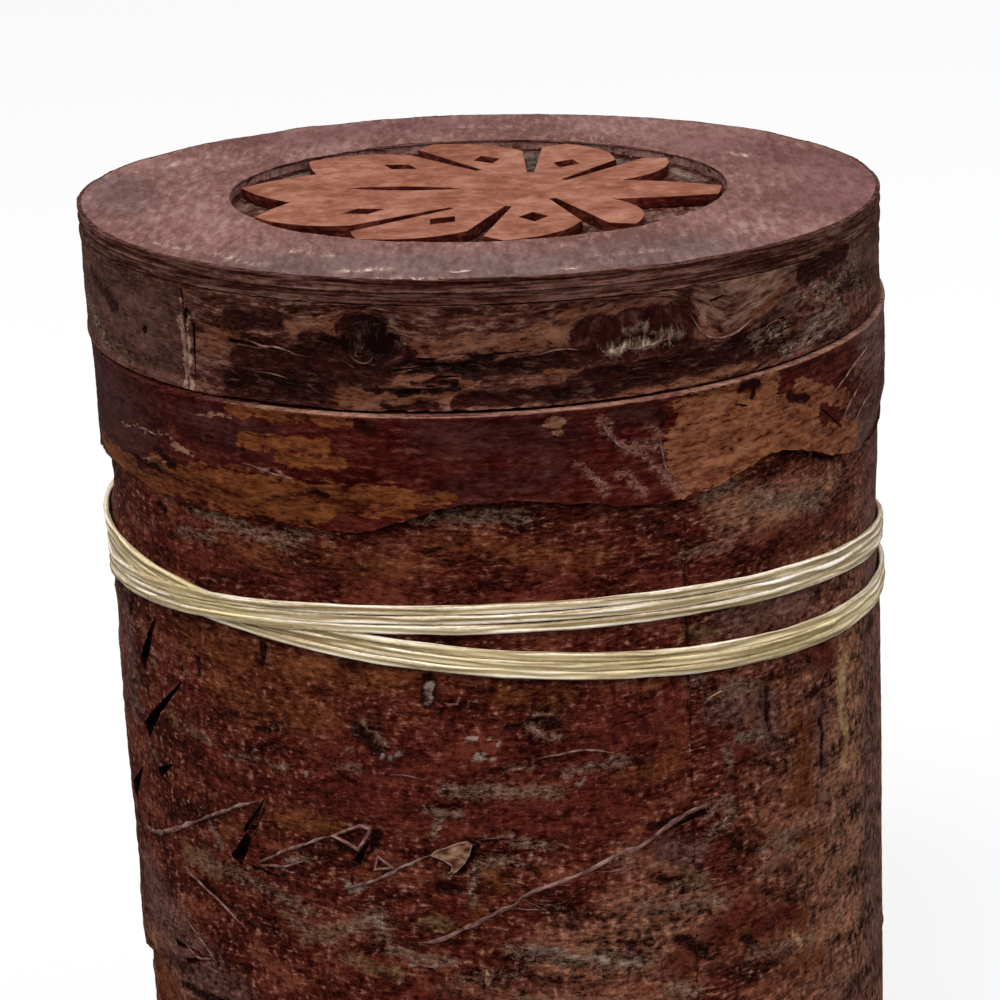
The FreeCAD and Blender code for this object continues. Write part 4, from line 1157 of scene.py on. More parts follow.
def mouth_strip(fibre_material, cut_material):
    height = 14 * MM
    piece = turned(
        "mouth_strip", BAND_RADIUS - BAND_THICKNESS, BAND_RADIUS, MOUTH - height, MOUTH,
        (10, 0, 0), [(65, 16), (170, 100), (124.6, 30)], start=-149.8, rounded=0.35 * MM,
    )
    points = points_of(piece)
    turn = azimuths(points)
    share = np.clip((MOUTH - 0.5 * MM - points[:, 2]) / (height - 0.5 * MM), 0, 1)
    low = band_edge(turn) + 0.14 * MM * wander(turn, 9.0, 5)
    edge_z = MOUTH - height
    points[:, 2] += share * (low - edge_z)
    above_edge = (points[:, 2] - low) / MM
    close = 0.5 * ramp(turn, -80, -68) * ramp(turn, -16, -26)
    close += 0.9 * ramp(turn, 60, 68) * ramp(turn, 125, 110)
    close -= 0.4 * ramp(turn, -22, -16) * ramp(turn, 56, 50)
    lift = close * MM * np.clip(1 - above_edge / 4, 0, 1)
    face = radii_of(points) > BAND_RADIUS - 0.7 * BAND_THICKNESS
    lift = np.where(face, lift, 0) + drawn_in(turn, 20.0)
    lift += 0.25 * MM * face * hump(turn, 84, 24)
    points[:, :2] *= (1 - lift / BAND_RADIUS)[:, None]
    move_points(piece, points)
    lay_out(piece, BAND_RADIUS, BAND_SEAM)
    fade = np.clip((MOUTH - points[:, 2]) / (1.2 * MM), 0.05, 1)
    mark(piece, "face", face * fade)
    mark(piece, "edge", face * np.clip(1 - above_edge / 1.6, 0, 1))
    # A painted highlight along the band's top edge, weaker towards the left
    ledge_highlight = np.clip((points[:, 2] - MOUTH) / (0.3 * MM) + 1.2, 0, 1)
    mark(piece, "ledge_highlight", ledge_highlight * np.clip((turn + 52) / 30, 0.15, 1))
    painted(piece, BAND_RADIUS, BAND_MARKS, face)
    roughened(piece, 9 * MM, 0.35 * MM, "face_weight", "along", depth=2, level=0.9)
    roughened(piece, 1.6 * MM, 0.16 * MM, "face_weight", "along", depth=2, hard=True, level=0.7)
    roughened(piece, 0.9 * MM, 0.4 * MM, "crumbs_weight", "sheet", depth=3, hard=True, level=0.5)
    pressed(piece, -0.12 * MM, "ochre_weight")
    pressed(piece, -0.12 * MM, "tan_weight")
    pressed(piece, -0.25 * MM, "stain_and_shadow_weight")
    knife_cuts(piece, BAND_RADIUS - 0.1 * MM, BAND_CRACKS, cut_material)
    smooth(piece, 50)
    return joined(
        piece, fibres("fibre", BAND_RADIUS - 0.12 * MM, BAND_FIBRES, 80, fibre_material)
    )


# Lid

LID_MARKS = {
    "grey": [
        (7.0, 0.95, [(-84, 8), (-50, 8)]), (1.6, 0.8, [(-62, 12), (-50, 12.6)]),
        (3.0, 0.8, [(62, 6), (80, 8)]), (1.4, 0.6, [(40, 9), (46, 7)]),
    ],
    "maroon": [
        (2.0, 1.0, [(-34, 9.4), (-24, 9.6), (-14, 9.2)]), (2.3, 1.0, [(-35, 12.6), (-24, 12.2)]),
        (0.5, 0.9, [(-14, 13.6), (-7, 13.6)]), (1.7, 1.25, [(-17.6, 4.6), (-14.6, 4.4)]),
        (2.0, 1.25, [(-17.4, 6.8), (-12.8, 6.9)]), (1.2, 1.2, [(-12.4, 6.6), (-10.4, 7.6)]),
        (1.0, 1.1, [(-18.4, 8.6), (-14, 9.6)]), (0.9, 0.9, [(-34, 7.4), (-28, 7.8), (-18, 8)]),
        (0.9, 0.9, [(-24, 5.8), (-20.5, 6.4)]), (0.7, 1.0, [(-14, 9.2), (-6.5, 8.9)]),
        (0.9, 1.0, [(-6, 9.6), (5, 9.2)]), (0.9, 1.0, [(-4, 13), (6, 12.8), (12, 12.6)]),
        (2.4, 1.2, [(14, 6.8), (26, 6.4)]), (1.1, 1.0, [(5, 9.2), (14, 8.6), (27, 8.8)]),
        (1.7, 0.95, [(12, 12), (28, 11.6), (42, 10.6)]), (1.2, 0.9, [(40, 11.8), (56, 12.4)]),
        (1.2, 0.8, [(48, 4.4), (60, 4)]), (1.3, 0.8, [(56, 7), (66, 9)]),
        (0.3, 1.0, [(-10, 10.6), (-4, 11)]), (0.3, 1.0, [(-16, 11.6), (-8, 12.2)]),
        (1.5, 0.6, [(-72, 4.8), (-62, 7)]), (1.2, 0.8, [(-36, 4.6), (-28, 4.4)]),
    ],
    "ochre": [
        (1.5, 0.85, [(1, 6.6), (11, 6)]), (0.9, 0.95, [(6, 10.8), (12, 10.2)]),
        (1.2, 0.8, [(-11, 7.2), (-2, 6.2)]), (1.8, 0.8, [(-14, 10.8), (-3, 10.2)]),
        (1.5, 1.0, [(-19, 12.2), (-10, 12), (-3, 11.6)]), (1.2, 1.0, [(-9, 9.4), (1, 9)]),
        (0.5, 0.95, [(-28, 4.6), (-20, 4.1)]), (0.6, 0.9, [(-26, 5.5), (-20, 5)]),
        (1.5, 0.8, [(-41.5, 8.4), (-37, 8)]), (0.7, 0.8, [(-40, 6.4), (-35, 6.8)]),
        (0.6, 0.95, [(-20, 3.4), (-15, 2.9), (-11.5, 4.6), (-10, 6.2)]),
        (0.7, 0.8, [(-19, 6.4), (-19.6, 4.6)]), (0.6, 1.0, [(10, 3.6), (18, 3.8), (28, 4.4)]),
        (1.0, 0.8, [(8, 5.2), (12, 6)]),
        (0.5, 1.0, [(27, 4.6), (29.4, 8), (33, 9.4), (38, 8), (43, 5.8), (48, 3.8)]),
        (0.5, 0.9, [(17, 13.5), (28, 13.4), (38, 13.2)]), (0.6, 0.7, [(44, 5), (52, 3.4)]),
    ],
    "strip": [(0.65, 1.1, [(-44.3, 5.6), (-44, 13.8)]), (0.3, 0.9, [(-44.6, 3.6), (-43.8, 3.2)])],
    "wood": [(2.4, 1.0, [(31, 4.6), (44, 3.4)]), (1.2, 0.9, [(34, 8), (40, 6.6)])],
    "lichen": [
        (0.9, 0.85, [(16.5, 8.3), (26, 7.8)]), (0.6, 0.9, [(19, 6.6), (21, 6.4)]),
        (1.2, 0.85, [(39, 10.6), (44, 10.2)]), (1.1, 0.75, [(52, 8), (60, 7)]),
        (1.4, 0.8, [(50, 11.2), (58, 10)]), (0.9, 0.8, [(44, 13), (60, 12)]),
        (1.3, 0.7, [(62, 6), (66, 9.6)]), (0.5, 0.8, [(46, 7.8), (50, 6.4), (54, 6.8)]),
        (1.3, 0.8, [(-76, 9.4), (-66, 12.5)]), (1.2, 0.5, [(-66, 12), (-58, 13)]),
        (0.8, 0.7, [(-12, 4), (-11, 6)]),
    ],
    "stain_and_shadow": [
        (0.35, 1.1, [(-53.9, 8.5), (-53.5, 8.5)]), (0.6, 1.3, [(-44, 4.9), (-43.8, 4.9)]),
        (0.9, 1.1, [(-16.4, 6.9), (-14.6, 7.1)]), (1.1, 0.8, [(-16.6, 4.7), (-15, 4.7)]),
        (1.3, 0.8, [(-17, 6.6), (-12.8, 6.8)]), (0.6, 0.9, [(-2, 8.2), (1, 8)]),
        (0.5, 0.9, [(-8, 9), (-2, 9.2)]), (0.4, 0.8, [(-12, 12), (-4, 11.6)]),
    ],
}
LID_CUTS = [
    Cut((-42.7, 13.6), (-42.4, 6.0), 0.5, 0.5), Cut((-43.9, 6.0), (-44.0, 4.4), 0.9, 0.9),
    Cut((-13.4, 7.5), (-17.2, 7.6), 0.6, 0.7), Cut((-6.2, 8.7), (-12.4, 9.4), 0.5, 0.4),
    Cut((-22.0, 8.2), (-36.0, 7.2), 0.5, 0.4), Cut((-2.4, 11.4), (-8.0, 11.2), 0.4, 0.35),
    Cut((-1.0, 7.8), (-9.0, 8.0), 0.35, 0.3), Cut((11.0, 7.4), (1.0, 7.6), 0.3, 0.3),
    Cut((0.0, 9.9), (-7.0, 10.2), 0.35, 0.3), Cut((44.0, 2.9), (31.0, 4.6), 0.3, 0.25),
    Cut((30.0, 10.4), (44.0, 8.8), 0.3, 0.3),
]
LID_FIBRES = [
    (0.3, [(-44.4, 5.4), (-44.3, 8), (-44.2, 11), (-43.8, 13.8)]),
    (0.16, [(-33.4, 6.7), (-31, 7.4), (-28.6, 7.3), (-25.6, 8.0)]),
    (0.14, [(-39.8, 9.6), (-37.6, 10.2), (-35.6, 10.3)]),
    (0.13, [(-31.4, 10.5), (-29, 10.6), (-27, 10.9)]),
    (0.16, [(-18.0, 7.6), (-17.0, 8.4), (-15.6, 8.5), (-14.8, 7.8)]),
    (0.26, [(-16.2, 6.9), (-15.8, 6.2)]), (0.22, [(-44.6, 3.9), (-43.8, 3.4), (-43.4, 3.9)]),
    (0.13, [(46, 8), (49, 6.8), (53, 6.4), (54.6, 7.2)]), (0.13, [(40, 9.4), (43, 8.9), (44, 9.6)]),
    (0.12, [(17, 8.4), (21, 8.6), (26, 7.6)]),
    (0.12, [(27.4, 5), (30, 8.4), (34, 9.2), (39.4, 7.4)]),
    (0.11, [(44, 13.3), (50, 12.9), (58, 11.4)]), (0.12, [(6, 8.1), (9, 7.7), (12, 7.9)]),
]


def lid_flow(turn, drop):
    """The grain runs round the two knots, as a stream runs round a post."""
    lift = 0.0
    mm_per_degree = 0.873
    for knot_turn, knot_drop, size, stretch in ((-15.5, 6.3, 2.4, 0.8), (20.5, 6.8, 3.2, 0.45)):
        across = (turn - knot_turn) * mm_per_degree * stretch
        down = drop - knot_drop
        lift = lift + 0.8 * down * size ** 2 / np.maximum(across ** 2 + down ** 2, size ** 2)
    return lift + 1.6 * hump(turn, 35, 7)


def curl(points):
    """How far the lid's left edge has curled up at each point."""
    share = (radii_of(points) / LID_RADIUS) ** 4
    return 0.7 * MM * hump(azimuths(points), -86, 32) * share


def laid_on_lid(piece):
    """Tips a flat piece to the lid's slope, with its left edge curled up."""
    piece.data.transform(SLOPE)
    points = points_of(piece)
    points[:, 2] += curl(points)
    move_points(piece, points)
    smooth(piece, 50)
    return piece


def lid_hoop(fibre_material, cut_material):
    flat_top = LID_TOP - RIM_THICKNESS - DISC_THICKNESS
    piece = turned(
        "lid_side", LID_RADIUS - HOOP_WALL, LID_RADIUS, HOOP_LOW, flat_top,
        (8, 0, 0), [(128.8, 76), (190, 46), (40.9, 24)], start=-43.86,
    )
    points = points_of(piece)
    share = (points[:, 2] - HOOP_LOW) / (flat_top - HOOP_LOW)
    points[:, 2] -= share * (TOP_FALL_X * points[:, 0] + TOP_FALL_Y * points[:, 1])
    points[:, 2] += share * curl(points)
    move_points(piece, points)
    lay_out(piece, LID_RADIUS, HOOP_SEAM, lid_flow)
    face = radii_of(points) > LID_RADIUS - HAIR
    fade = np.clip((1 - share) * 8, 0.15, 1) * np.clip(share * 10, 0.2, 1)
    mark(piece, "face", face * fade)
    turn = azimuths(points)
    keep(piece, "crosswise", 0.4 * ramp(turn, -42, -45) + 0.6 * ramp(turn, 50, 62))
    painted(piece, LID_RADIUS, LID_MARKS, face)
    roughened(piece, 8 * MM, 0.35 * MM, "face_weight", "along", depth=2, level=0.7)
    roughened(piece, 1.1 * MM, 0.24 * MM, "face_weight", "along", depth=3, hard=True, level=0.8)
    roughened(piece, 1.0 * MM, 0.45 * MM, "lichen_weight", "sheet", depth=2, hard=True, level=0.4)
    pressed(piece, -0.3 * MM, "maroon_weight")
    pressed(piece, -0.5 * MM, "stain_and_shadow_weight")
    knife_cuts(piece, LID_RADIUS - 0.2 * MM, LID_CUTS, cut_material)
    smooth(piece, 50)
    return joined(
        piece, fibres("fibre", LID_RADIUS - 0.22 * MM, LID_FIBRES, 120, fibre_material)
    )


def dabbed(piece, spots):
    """As brushed, but on a flat top: half width, strength and the line's (x, y) in mm."""
    points = points_of(piece) / MM
    value = np.zeros(len(points))
    for half_width, strength, line in spots:
        for start, end in zip(line, line[1:] or line):
            run = np.subtract(end, start)
            off = points[:, :2] - start
            length = run @ run
            share = np.clip(off @ run / length, 0, 1)[:, None] if length else 0.0
            distance = np.linalg.norm(off - share * run, axis=1)
            value = np.maximum(value, strength * faded(distance, half_width))
    return value


RIM_MARKS = {
    "grey": [(7, 0.8, [(-24, -40), (6, -45), (24, -38)]), (4, 0.6, [(-44, -8), (-46, 8)])],
    "warm": [(7, 0.8, [(30, 26), (46, 4), (43, -16)]), (5, 0.7, [(-30, 34), (0, 44)])],
    "chip": [
        (0.35, 1.1, [(-3.2, -45.6), (-1.8, -45.2)]), (0.35, 1.0, [(-11.4, -48.6), (-5.4, -49.6)]),
        (0.25, 0.9, [(9.4, -45.8), (10.4, -45.6)]),
    ],
    "lichen": [
        (1.4, 0.9, [(-12, -48.6), (-5, -49.2)]), (0.8, 0.85, [(-16, -44), (-11, -43)]),
        (1.2, 0.7, [(-30, -34), (-26, -39)]), (1.0, 0.65, [(-38, -27), (-33, -32)]),
        (1.0, 0.7, [(-22, -33), (-17, -36)]), (0.7, 0.9, [(-3.0, -45.4), (-2.2, -45.2)]),
        (0.7, 0.9, [(9.4, -45.6), (10.4, -45.5)]), (1.2, 0.6, [(-41, 18), (-36, 26)]),
        (1.0, 0.6, [(12, -40), (20, -38)]), (0.9, 0.6, [(30, -30), (34, -28)]),
        (1.1, 0.6, [(-2, 41), (6, 40)]), (0.9, 0.65, [(33, 18), (36, 14)]),
    ],
}


BASE_MARKS = {
    "warm": [(5, 0.8, [(18, 12), (26, 0)]), (4, 0.7, [(-24, -8), (-12, -24)])],
    "grey": [(5, 0.9, [(-20, 18), (4, 26), (20, 18)])],
    "lichen": [(1.5, 0.7, [(-6, 27), (6, 28)]), (1.0, 0.7, [(24, 16), (28, 8)])],
}


def lid_rim():
    piece = turned(
        "lid_rim_slab", WINDOW_RADIUS, LID_RADIUS, LID_TOP - RIM_THICKNESS, LID_TOP,
        (1, 11, 1), [(360, 140)], start=0.0, rounded=0.25 * MM,
    )
    lay_out(piece, LID_RADIUS, 180)
    points = points_of(piece)
    top = points[:, 2] > LID_TOP - 0.3 * MM
    mark(piece, "face", top * 1.0)
    mark(piece, "side", (~top) * (points[:, 2] > LID_TOP - 1.45 * MM) * 1.0)
    for name, spots in RIM_MARKS.items():
        mark(piece, name, dabbed(piece, spots) * top)
    roughened(piece, 7 * MM, 0.3 * MM, "face_weight", depth=2, level=0.5)
    roughened(piece, 1.2 * MM, 0.12 * MM, "face_weight", "sheet", depth=2, hard=True, level=0.5)
    roughened(piece, 0.8 * MM, 0.35 * MM, "side_weight", "along", depth=3, hard=True, level=0.8)
    roughened(piece, 0.8 * MM, 0.3 * MM, "lichen_weight", depth=3, hard=True, level=0.7)
    return laid_on_lid(piece)


def lid_base():
    low = LID_TOP - RIM_THICKNESS - DISC_THICKNESS
    piece = turned(
        "lid_base_slab", 0, LID_RADIUS, low, low + DISC_THICKNESS,
        (1, 17, 0), [(360, 100)], start=0.0,
    )
    lay_out(piece, LID_RADIUS, 180)
    points = points_of(piece)
    radii = radii_of(points)
    top = points[:, 2] > low + DISC_THICKNESS - HAIR
    mark(piece, "face", top * (radii < WINDOW_RADIUS - 0.3 * MM) * 1.0)
    mark(piece, "side", (radii > LID_RADIUS - HAIR) * 1.0)
    for name, spots in BASE_MARKS.items():
        mark(piece, name, dabbed(piece, spots))
    roughened(piece, 1.4 * MM, 0.25 * MM, "face_weight", "sheet", depth=3, hard=True, level=1.0)
    roughened(piece, 0.9 * MM, 0.4 * MM, "side_weight", "along", depth=3, hard=True, level=0.9)
    return laid_on_lid(piece)


def leaf():
    deselect()
    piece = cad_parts["lid_leaf"].copy()
    piece.data = piece.data.copy()
    piece.name = "cut_leaf"
    piece.data.name = "cut_leaf"
    piece.parent = None
    for key in list(piece.keys()):
        del piece[key]
    bpy.context.scene.collection.objects.link(piece)
    piece.select_set(True)
    bpy.context.view_layer.objects.active = piece
    bpy.ops.object.mode_set(mode="EDIT")
    bpy.ops.mesh.select_all(action="SELECT")
    bpy.ops.mesh.remove_doubles(threshold=TINY)
    bpy.ops.mesh.normals_make_consistent(inside=False)
    bpy.ops.mesh.dissolve_limited(angle_limit=math.radians(1))
    bpy.ops.object.mode_set(mode="OBJECT")
    applied(
        piece, "BEVEL", width=0.14 * MM, segments=2, limit_method="ANGLE",
        angle_limit=math.radians(50),
    )
    bpy.ops.object.mode_set(mode="EDIT")
    bpy.ops.mesh.select_all(action="SELECT")
    bpy.ops.mesh.quads_convert_to_tris()
    bpy.ops.object.mode_set(mode="OBJECT")
    return piece


def foot():
    piece = turned(
        "foot_slab", 0, BODY_RADIUS, 0, 3 * MM, (1, 8, 0), [(360, 90)], rounded=-0.8 * MM,
    )
    lay_out(piece, BODY_RADIUS, 180)
    points = points_of(piece)
    radii = radii_of(points)
    rim = (radii > BODY_RADIUS - HAIR) * (points[:, 2] > 0.8 * MM)
    mark(piece, "side", rim * 1.0)
    roughened(piece, 0.9 * MM, 0.4 * MM, "side_weight", "along", depth=3, hard=True, level=0.95)
    smooth(piece, 50)
    return piece


# Tie

# In mm: between turns, out over a crossing, and out to the knot at the ends
STRAND_PITCH = 1.13
RIDE = 0.66
KNOT_RISE = 1.6
# Azimuths
CROSSING = -46.0
KNOT = 134.0
# In turns of the cord: its length, where it goes over to the lower band and how far it
# takes, the ends that leave the wall, and the middle of each band
TURNS = 6
GOES_OVER = 3.05
GOING_OVER = 0.4
HALFWAY = 3.2
END = 0.07
UPPER_MIDDLE = 1.5
LOWER_MIDDLE = 4.5


def upper_band(turn):
    """How far above the mouth the upper band's middle lies at an azimuth, in mm."""
    return 6.0 * np.cos(np.radians(turn + 7)) - 31.0


def lower_band(turn):
    return 6.1 * np.cos(np.radians(turn + 86)) - 31.1


def tie_line():
    """The middle of the cord over its six turns, and the way out from the wall at each point."""
    turns = np.linspace(0, TURNS, 240 * TURNS + 1)
    turn = KNOT + 360 * turns
    toward_lower = ramp(turns - GOES_OVER, 0, GOING_OVER)
    toward_lower = toward_lower ** 2 * (3 - 2 * toward_lower)
    upper = upper_band(turn) + (np.minimum(turns, HALFWAY) - UPPER_MIDDLE) * STRAND_PITCH
    lower = lower_band(turn) + (np.maximum(turns, HALFWAY) - LOWER_MIDDLE) * STRAND_PITCH
    height = MOUTH + (upper + (lower - upper) * toward_lower) * MM
    height += 0.16 * MM * wander(turns, 0.9, 3)
    off_crossing = (turn - CROSSING + 180) % 360 - 180
    off_back = (turn - KNOT + 180) % 360 - 180
    ride = RIDE * (1 - toward_lower) * hump(off_crossing, 0, 20)
    ride += RIDE * toward_lower * hump(off_back, 0, 20)
    radius = BODY_RADIUS - waist(height) + (0.42 + ride + 0.08 * wander(turns, 0.6, 8)) * MM
    ends = np.clip(np.maximum(1 - turns / END, 1 - (TURNS - turns) / END), 0, 1)
    radius += KNOT_RISE * MM * ends ** 2
    radius += 0.3 * MM * hump((turn + 180) % 360 - 180, 84, 14)
    height += np.where(turns < TURNS / 2, 1.0, -1.0) * MM * ends ** 2
    angle = np.radians(turn)
    outward = np.column_stack((np.sin(angle), -np.cos(angle), np.zeros(len(angle))))
    path = outward * radius[:, None]
    path[:, 2] = height
    return path, outward


def winding():
    path, outward = tie_line()
    piece = ribbon("raffia_winding", path, outward, 1.14 * MM, 0.8 * MM, 11, 16, crease=0.4)
    points = points_of(piece)
    above = (points[:, 2] - MOUTH) / MM - lower_band(azimuths(points))
    old = 0.7 + 0.4 * wander(azimuths(points), 90.0, 17)
    keep(piece, "yellowed", old * (np.abs(above - 0.5 * STRAND_PITCH) < 1.2))
    return piece


def knot_place():
    """The knot's middle, its direction along the cord and outwards."""
    angle = math.radians(KNOT)
    out = np.array((math.sin(angle), -math.cos(angle), 0))
    along = np.array((math.cos(angle), math.sin(angle), 0))
    height = MOUTH + (upper_band(KNOT) + lower_band(KNOT)) / 2 * MM
    return np.array((0, 0, height)) + out * 52.3 * MM, along, out


# Points of each strand: along the cord, outwards and up from the knot's middle, in mm
KNOT_LINES = [
    [(-5.0, -2.0, -1.0), (-3.0, -0.6, -0.9), (-0.8, 0.9, -0.6), (1.6, 1.3, 0.2), (2.9, 0.4, 0.9),
     (1.9, -0.5, 1.4), (-0.6, 0.2, 1.5), (-1.9, 1.7, 0.9), (-1.5, 2.6, -0.6), (-1.0, 2.2, -2.4)],
    [(5.0, -2.0, 1.2), (3.0, -0.4, 1.2), (0.8, 0.5, 0.9), (-1.6, 0.9, 0.0), (-2.9, 0.2, -0.9),
     (-1.9, -0.5, -1.5), (0.6, 0.2, -1.6), (1.7, 1.6, -0.8), (1.3, 2.6, 0.5), (0.9, 2.4, 1.9),
     (0.3, 1.2, 2.4), (-0.2, -0.6, 1.6)],
    [(0.9, -0.8, 2.2), (0.4, 1.6, 2.5), (0.2, 2.9, 1.2), (-0.1, 3.1, -0.6), (-0.4, 2.3, -2.2),
     (-0.2, 0.4, -2.5), (0.3, -0.8, -1.8)],
    [(0.2, 0.0, -1.2), (1.0, 1.8, -2.2), (1.7, 2.0, -4.2), (2.8, 1.4, -6.6), (4.2, 0.8, -8.4)],
    [(-1.0, 2.0, -1.6), (-1.5, 2.0, -3.0), (-2.0, 1.6, -5.0), (-2.3, 1.2, -7.0), (-3.0, 0.9, -8.3)],
]


def tied_knot():
    """Two bights drawn up over each other, one turn round them and two frayed ends."""
    middle, along, out = knot_place()
    up = np.array((0, 0, 1))
    pieces = []
    for number, line in enumerate(KNOT_LINES):
        local = through(line, 14 * len(line)) * MM
        path = middle + local[:, :1] * along + local[:, 1:2] * out + local[:, 2:] * up
        inside = middle + out * 0.4 * MM
        outward = path - inside
        if number > 2:
            outward = np.tile(out, (len(path), 1))
        pieces.append(ribbon("strand", path, outward, 1.3 * MM, 0.6 * MM, 200 + 9 * number))
        if number > 2:
            for split, lean in enumerate((-0.5, 0.0, 0.45)):
                tip = path[-1]
                ahead = (path[-1] - path[-6]) / np.linalg.norm(path[-1] - path[-6])
                side = np.cross(out, ahead)
                ray = np.array([
                    tip - ahead * 0.6 * MM + side * lean * 0.6 * MM,
                    tip + (ahead * 0.8 + side * lean * 0.9) * MM,
                    tip + (ahead * (1.8 + 0.4 * split) + side * lean * 2.0 + out * 0.2) * MM,
                ])
                fray = through(ray, 8)
                pieces.append(ribbon(
                    "strand", fray, np.tile(out, (8, 1)), 0.42 * MM, 0.3 * MM,
                    300 + 5 * number + split, 6, 0, 1.0 * MM,
                ))
    knot = joined(pieces[0], pieces[1:])
    knot.name = "raffia_knot_tied"
    knot.data.name = "raffia_knot_tied"
    return knot


def edge_face(face):
    """Whether a face of a disc lies on its rim or on the window's edge."""
    middle = face.calc_center_median()
    radius = math.hypot(middle.x, middle.y)
    return radius > BODY_RADIUS - 0.15 * MM or abs(radius - WINDOW_RADIUS) < 0.12 * MM


put_camera()
put_studio()

# Fresh knife cuts: their walls are painted almost black, as painted shade deep in the slits
cut_in_painted_shade = bark(
    "cut_in_painted_shade", ("#050000", "#0e0302", "#220a06"), (6, 3), (1.2, 0.4), [], 0.85, 0.1, ""
)
# Bast fibres that have torn loose: dry and paler than the wall, with a fine run along them
bark_fibre = bark(
    "bark_fibre", ("#4a2e28", "#6c4c46", "#907066"), (9, 5), (3.0, 0.8), [], 0.8, 0.05
)
# Flakes of the outermost layer, sprung off as it dried: their weathered tan side shows
bark_flake = bark(
    "bark_flake", ("#42241a", "#70503c", "#8e6c56"), (3, 1.6), (1.4, 0.6), [], 0.8, 0.05
)
# Outer bark left as it grew: matt, deep red-brown, finely split across the trunk, with a
# painted highlight on its crests, grey-green crusts of lichen and, right of the seam,
# browner old bark
rough_bark = bark(
    "bark_as_grown", ("#190100", "#40130a", "#6a3828"), (9, 4), (2.3, 0.55),
    [
        Layer("old_side", "#1c0502", "#9c6a52", 1.4, 0.4),
        Layer("orange", "#2c0802", "#6e3c20", 1.6, 0.35),
        Layer("red", "#1c0000", "#5a2016", 1.6, 0.35),
        Layer("plum", "#2a0f0c", "#6e4c44", 1.6, 0.4),
        # Painted shade under the band's wavy edge
        Layer("gap", "#060000", "#140302", 0.0, 0.3),
        # Stains, and painted shadows beside the flakes and the knife cuts
        Layer("stain_and_shadow", "#0a0000", "#200504", 2.4, 0.12),
        Layer("lichen", "#26110b", "#6c5242", 2.4, 0.2, False, 0.74),
        Layer("lichen", "#5e483c", "#947c6c", 5.0, 0.14, True, 0.3),
        Layer("white", "#3c2820", "#8e7c70", 2.4, 0.25),
        Layer("yellow", "#301c0c", "#70523a", 2.0, 0.3, False, 0.85),
        Layer("straw", "#64442c", "#a4845e", 2.0, 0.2),
    ],
    0.8, 0.16, upright="crosswise", scales=("#80604f", 0.1, "lichen"), crumb=(1.0, 0.6),
    crest_highlight=("#a27c6c", 0.5), cracks=(3.2, 0.5, 0.03),
)
# Bark scraped with a blade before it was bent: smoother and slightly glossier, maroon
# where the skin is left and ochre or tan where the blade went through it
scraped_bark = bark(
    "bark_scraped_thin", ("#210100", "#360b07", "#4a1d15"), (12, 4), (3.2, 0.7),
    [
        Layer("plum", "#240808", "#40211f", 2.4, 0.4),
        Layer("worn", "#321310", "#6e4e46", 1.8, 0.4),
        Layer("ochre", "#300b04", "#744021", 2.4, 0.09),
        Layer("tan", "#401808", "#86543a", 2.4, 0.08),
        Layer("stain_and_shadow", "#120100", "#280804", 2.2, 0.12),
        Layer("crumbs", "#300d08", "#6a4236", 2.4, 0.3, False, 0.85),
        Layer("pale", "#4a2618", "#84604c", 2.4, 0.12),
        # Painted highlight along the band's top edge
        Layer("ledge_highlight", "#54302a", "#98705f", 0.0, 0.2),
    ],
    0.6, 0.08, scales=("#9a7464", 0.0, "crumbs"), crumb=(1.1, 0.6), cracks=(4, 0.6, 0.015),
    crest_highlight=("#7c5040", 0.15),
)
# The lid's side, scraped in places: its grain runs round two dark knots, pale where
# dry fibres lie bare
knotted_bark = bark(
    "bark_with_knots", ("#200703", "#402018", "#684538"), (11, 2.5), (3.2, 0.6),
    [
        Layer("grey", "#321a16", "#5a3c34", 1.8, 0.4),
        Layer("wood", "#40221a", "#7e5e4e", 1.8, 0.3),
        Layer("ochre", "#44200f", "#6c4434", 2.8, 0.12),
        Layer("maroon", "#0c0000", "#2c0c0a", 1.8, 0.08),
        Layer("lichen", "#26140f", "#644e42", 2.4, 0.2, False, 0.8),
        Layer("lichen", "#66524a", "#a08e80", 5.0, 0.1, True, 0.34),
        Layer("strip", "#5a3c30", "#98796a", 2.4, 0.15),
        Layer("stain_and_shadow", "#080100", "#180503", 1.2, 0.12),
    ],
    0.7, 0.12, upright="crosswise", cracks=(4.5, 0.5, 0.03),
    scales=("#8f7060", 0.06, "lichen"), crumb=(1.2, 0.5), mottle=0.3, crest_highlight=("#8c6c5c", 0.25),
)
# Bark pressed flat under a weight: mauve-brown and matt, with a short felted grain and
# worn spots along its edge
rim_bark = bark(
    "pressed_bark", ("#5e3f39", "#734f4a", "#866560"), (12, 22), (1.2, 4.6),
    [
        Layer("grey", "#503c3a", "#705c5a", 2.0, 0.5),
        Layer("warm", "#543230", "#74504e", 2.0, 0.5),
        Layer("lichen", "#6a4a44", "#90786e", 1.8, 0.45),
        Layer("lichen", "#8a6e64", "#bca89e", 5.0, 0.15, True, 0.42),
        Layer("chip", "#a08c82", "#d8c8be", 1.2, 0.15),
    ],
    0.75, 0.04, cracks=(1.4, 3.0, 0.008), crack_tone="#543530",
    scales=("#a08078", 0.12, "lichen"), crumb=(0.8, 3.0), crest_highlight=("#a0827a", 0.22),
)
# The inner side of a flat piece, left raw: greyer and rougher than the ring above it
floor_bark = bark(
    "raw_inner_bark", ("#2c120e", "#4a2d26", "#72554b"), (7, 9), (1.2, 2.0),
    [
        Layer("grey", "#342722", "#70625a", 2.4, 0.4),
        Layer("warm", "#340f0a", "#683e34", 2.4, 0.4),
        Layer("lichen", "#40302a", "#8a7868", 1.8, 0.45),
    ],
    0.8, 0.08, cracks=(1.6, 2.4, 0.01), crumb=(0.9, 1.6), crest_highlight=("#8a7064", 0.4),
)
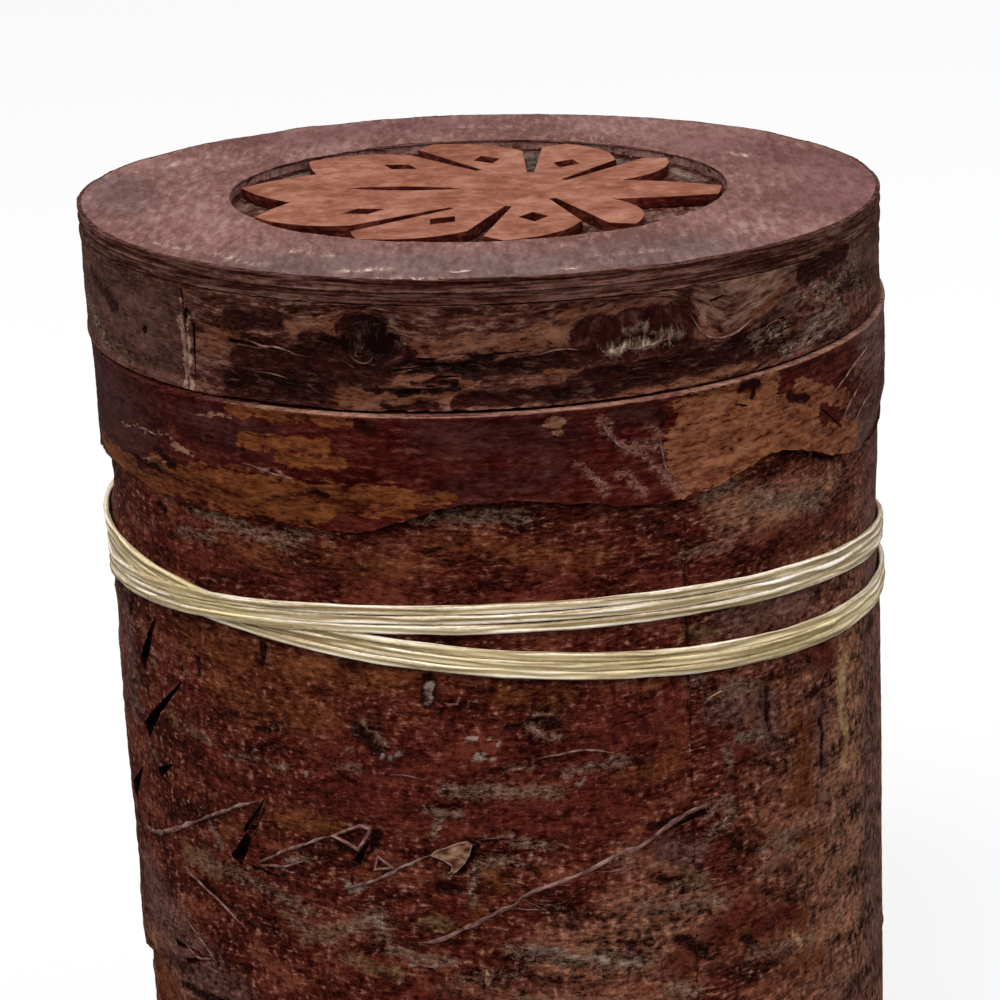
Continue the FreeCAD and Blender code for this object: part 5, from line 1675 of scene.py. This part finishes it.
# Sawn edges of the flat pieces: the bark's layers show as long thin lines
edge_bark = bark(
    "layered_edge", ("#260b08", "#42241d", "#64473d"), (20, 1.2), (6.0, 0.4), [], 0.8, 0.08,
    cracks=(16, 0.5, 0.03), mottle=0.2,
)
# The leaf's face, shaved smooth before it was sawn out: warm tan with a faint grain
leaf_bark = bark(
    "shaved_bark", ("#6a3826", "#84503c", "#9c6b58"), (11, 5), (3.2, 1.1), [], 0.6, 0.04,
    uv_map="", cracks=(5, 3, 0.004), crack_tone="#5c2818", wiggle=0.2,
)
# The leaf's sawn sides: dark red, far darker than its face
leaf_edge = bark(
    "sawn_bark", ("#220402", "#3a100b", "#5e2c20"), (8, 4), (1.4, 0.5), [], 0.7, 0.08, uv_map=""
)
# The inner wall, planed on both sides and rubbed by the lid: warm brown with a low sheen
inner_bark = bark(
    "planed_inner_bark", ("#46200f", "#703c22", "#92603f"), (18, 8), (6, 1.0), [], 0.55, 0.05,
    uv_map="", cracks=(9, 1.0, 0.01), crack_tone="#3a150a", shine=0.15,
)
# Raffia, the dried and folded skin of a palm leaf: cream with a soft sheen along its
# fibres, yellower in the lower band
raffia = bark(
    "raffia_leaf", ("#927a5a", "#cfbb9a", "#fbf2e8"), (24, 0.5), (22, 0.35),
    [
        Layer("yellowed", "#8c7248", "#eedcae", 1.2, 0.4),
        # Partly the fold's own colour, partly painted shade in its crease
        Layer("fold", "#6a5832", "#b09c72", 1.2, 0.35),
    ],
    0.45, 0.03,
    cracks=(24, 0.9, 0.012), crack_tone="#7a6638", shine=0.25, wiggle=0.25, mottle=0,
)

finished(
    body_wall(cut_in_painted_shade, bark_fibre, bark_flake), "box", "body_bark", "rough_bark", rough_bark
)
finished(mouth_strip(bark_fibre, cut_in_painted_shade), "box", "mouth_band", "scraped_bark", scraped_bark)
finished(lid_hoop(bark_fibre, cut_in_painted_shade), "lid", "lid_hoop", "knotted_bark", knotted_bark)
rim = finished(lid_rim(), "lid", "lid_top_ring", "bark_slab", rim_bark, edge_bark)
slot_where(rim, 1, edge_face)
base = finished(lid_base(), "lid", "lid_base_disc", "bark_floor", floor_bark, edge_bark)
slot_where(base, 1, edge_face)
carved = finished(leaf(), "lid", "lid_leaf", "carved_bark", leaf_bark, leaf_edge)
slot_where(carved, 1, lambda face: abs(face.normal.z) < 0.8)
foot_slab = finished(foot(), "box", "bottom_disc", "bark_slab", floor_bark, edge_bark)
slot_where(foot_slab, 1, edge_face)
finished(winding(), "box", "raffia_tie", "raffia", raffia)
finished(tied_knot(), "box", "raffia_knot", "raffia", raffia)
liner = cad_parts["body_liner"]
liner.data.materials.clear()
liner.data.materials.append(inner_bark)
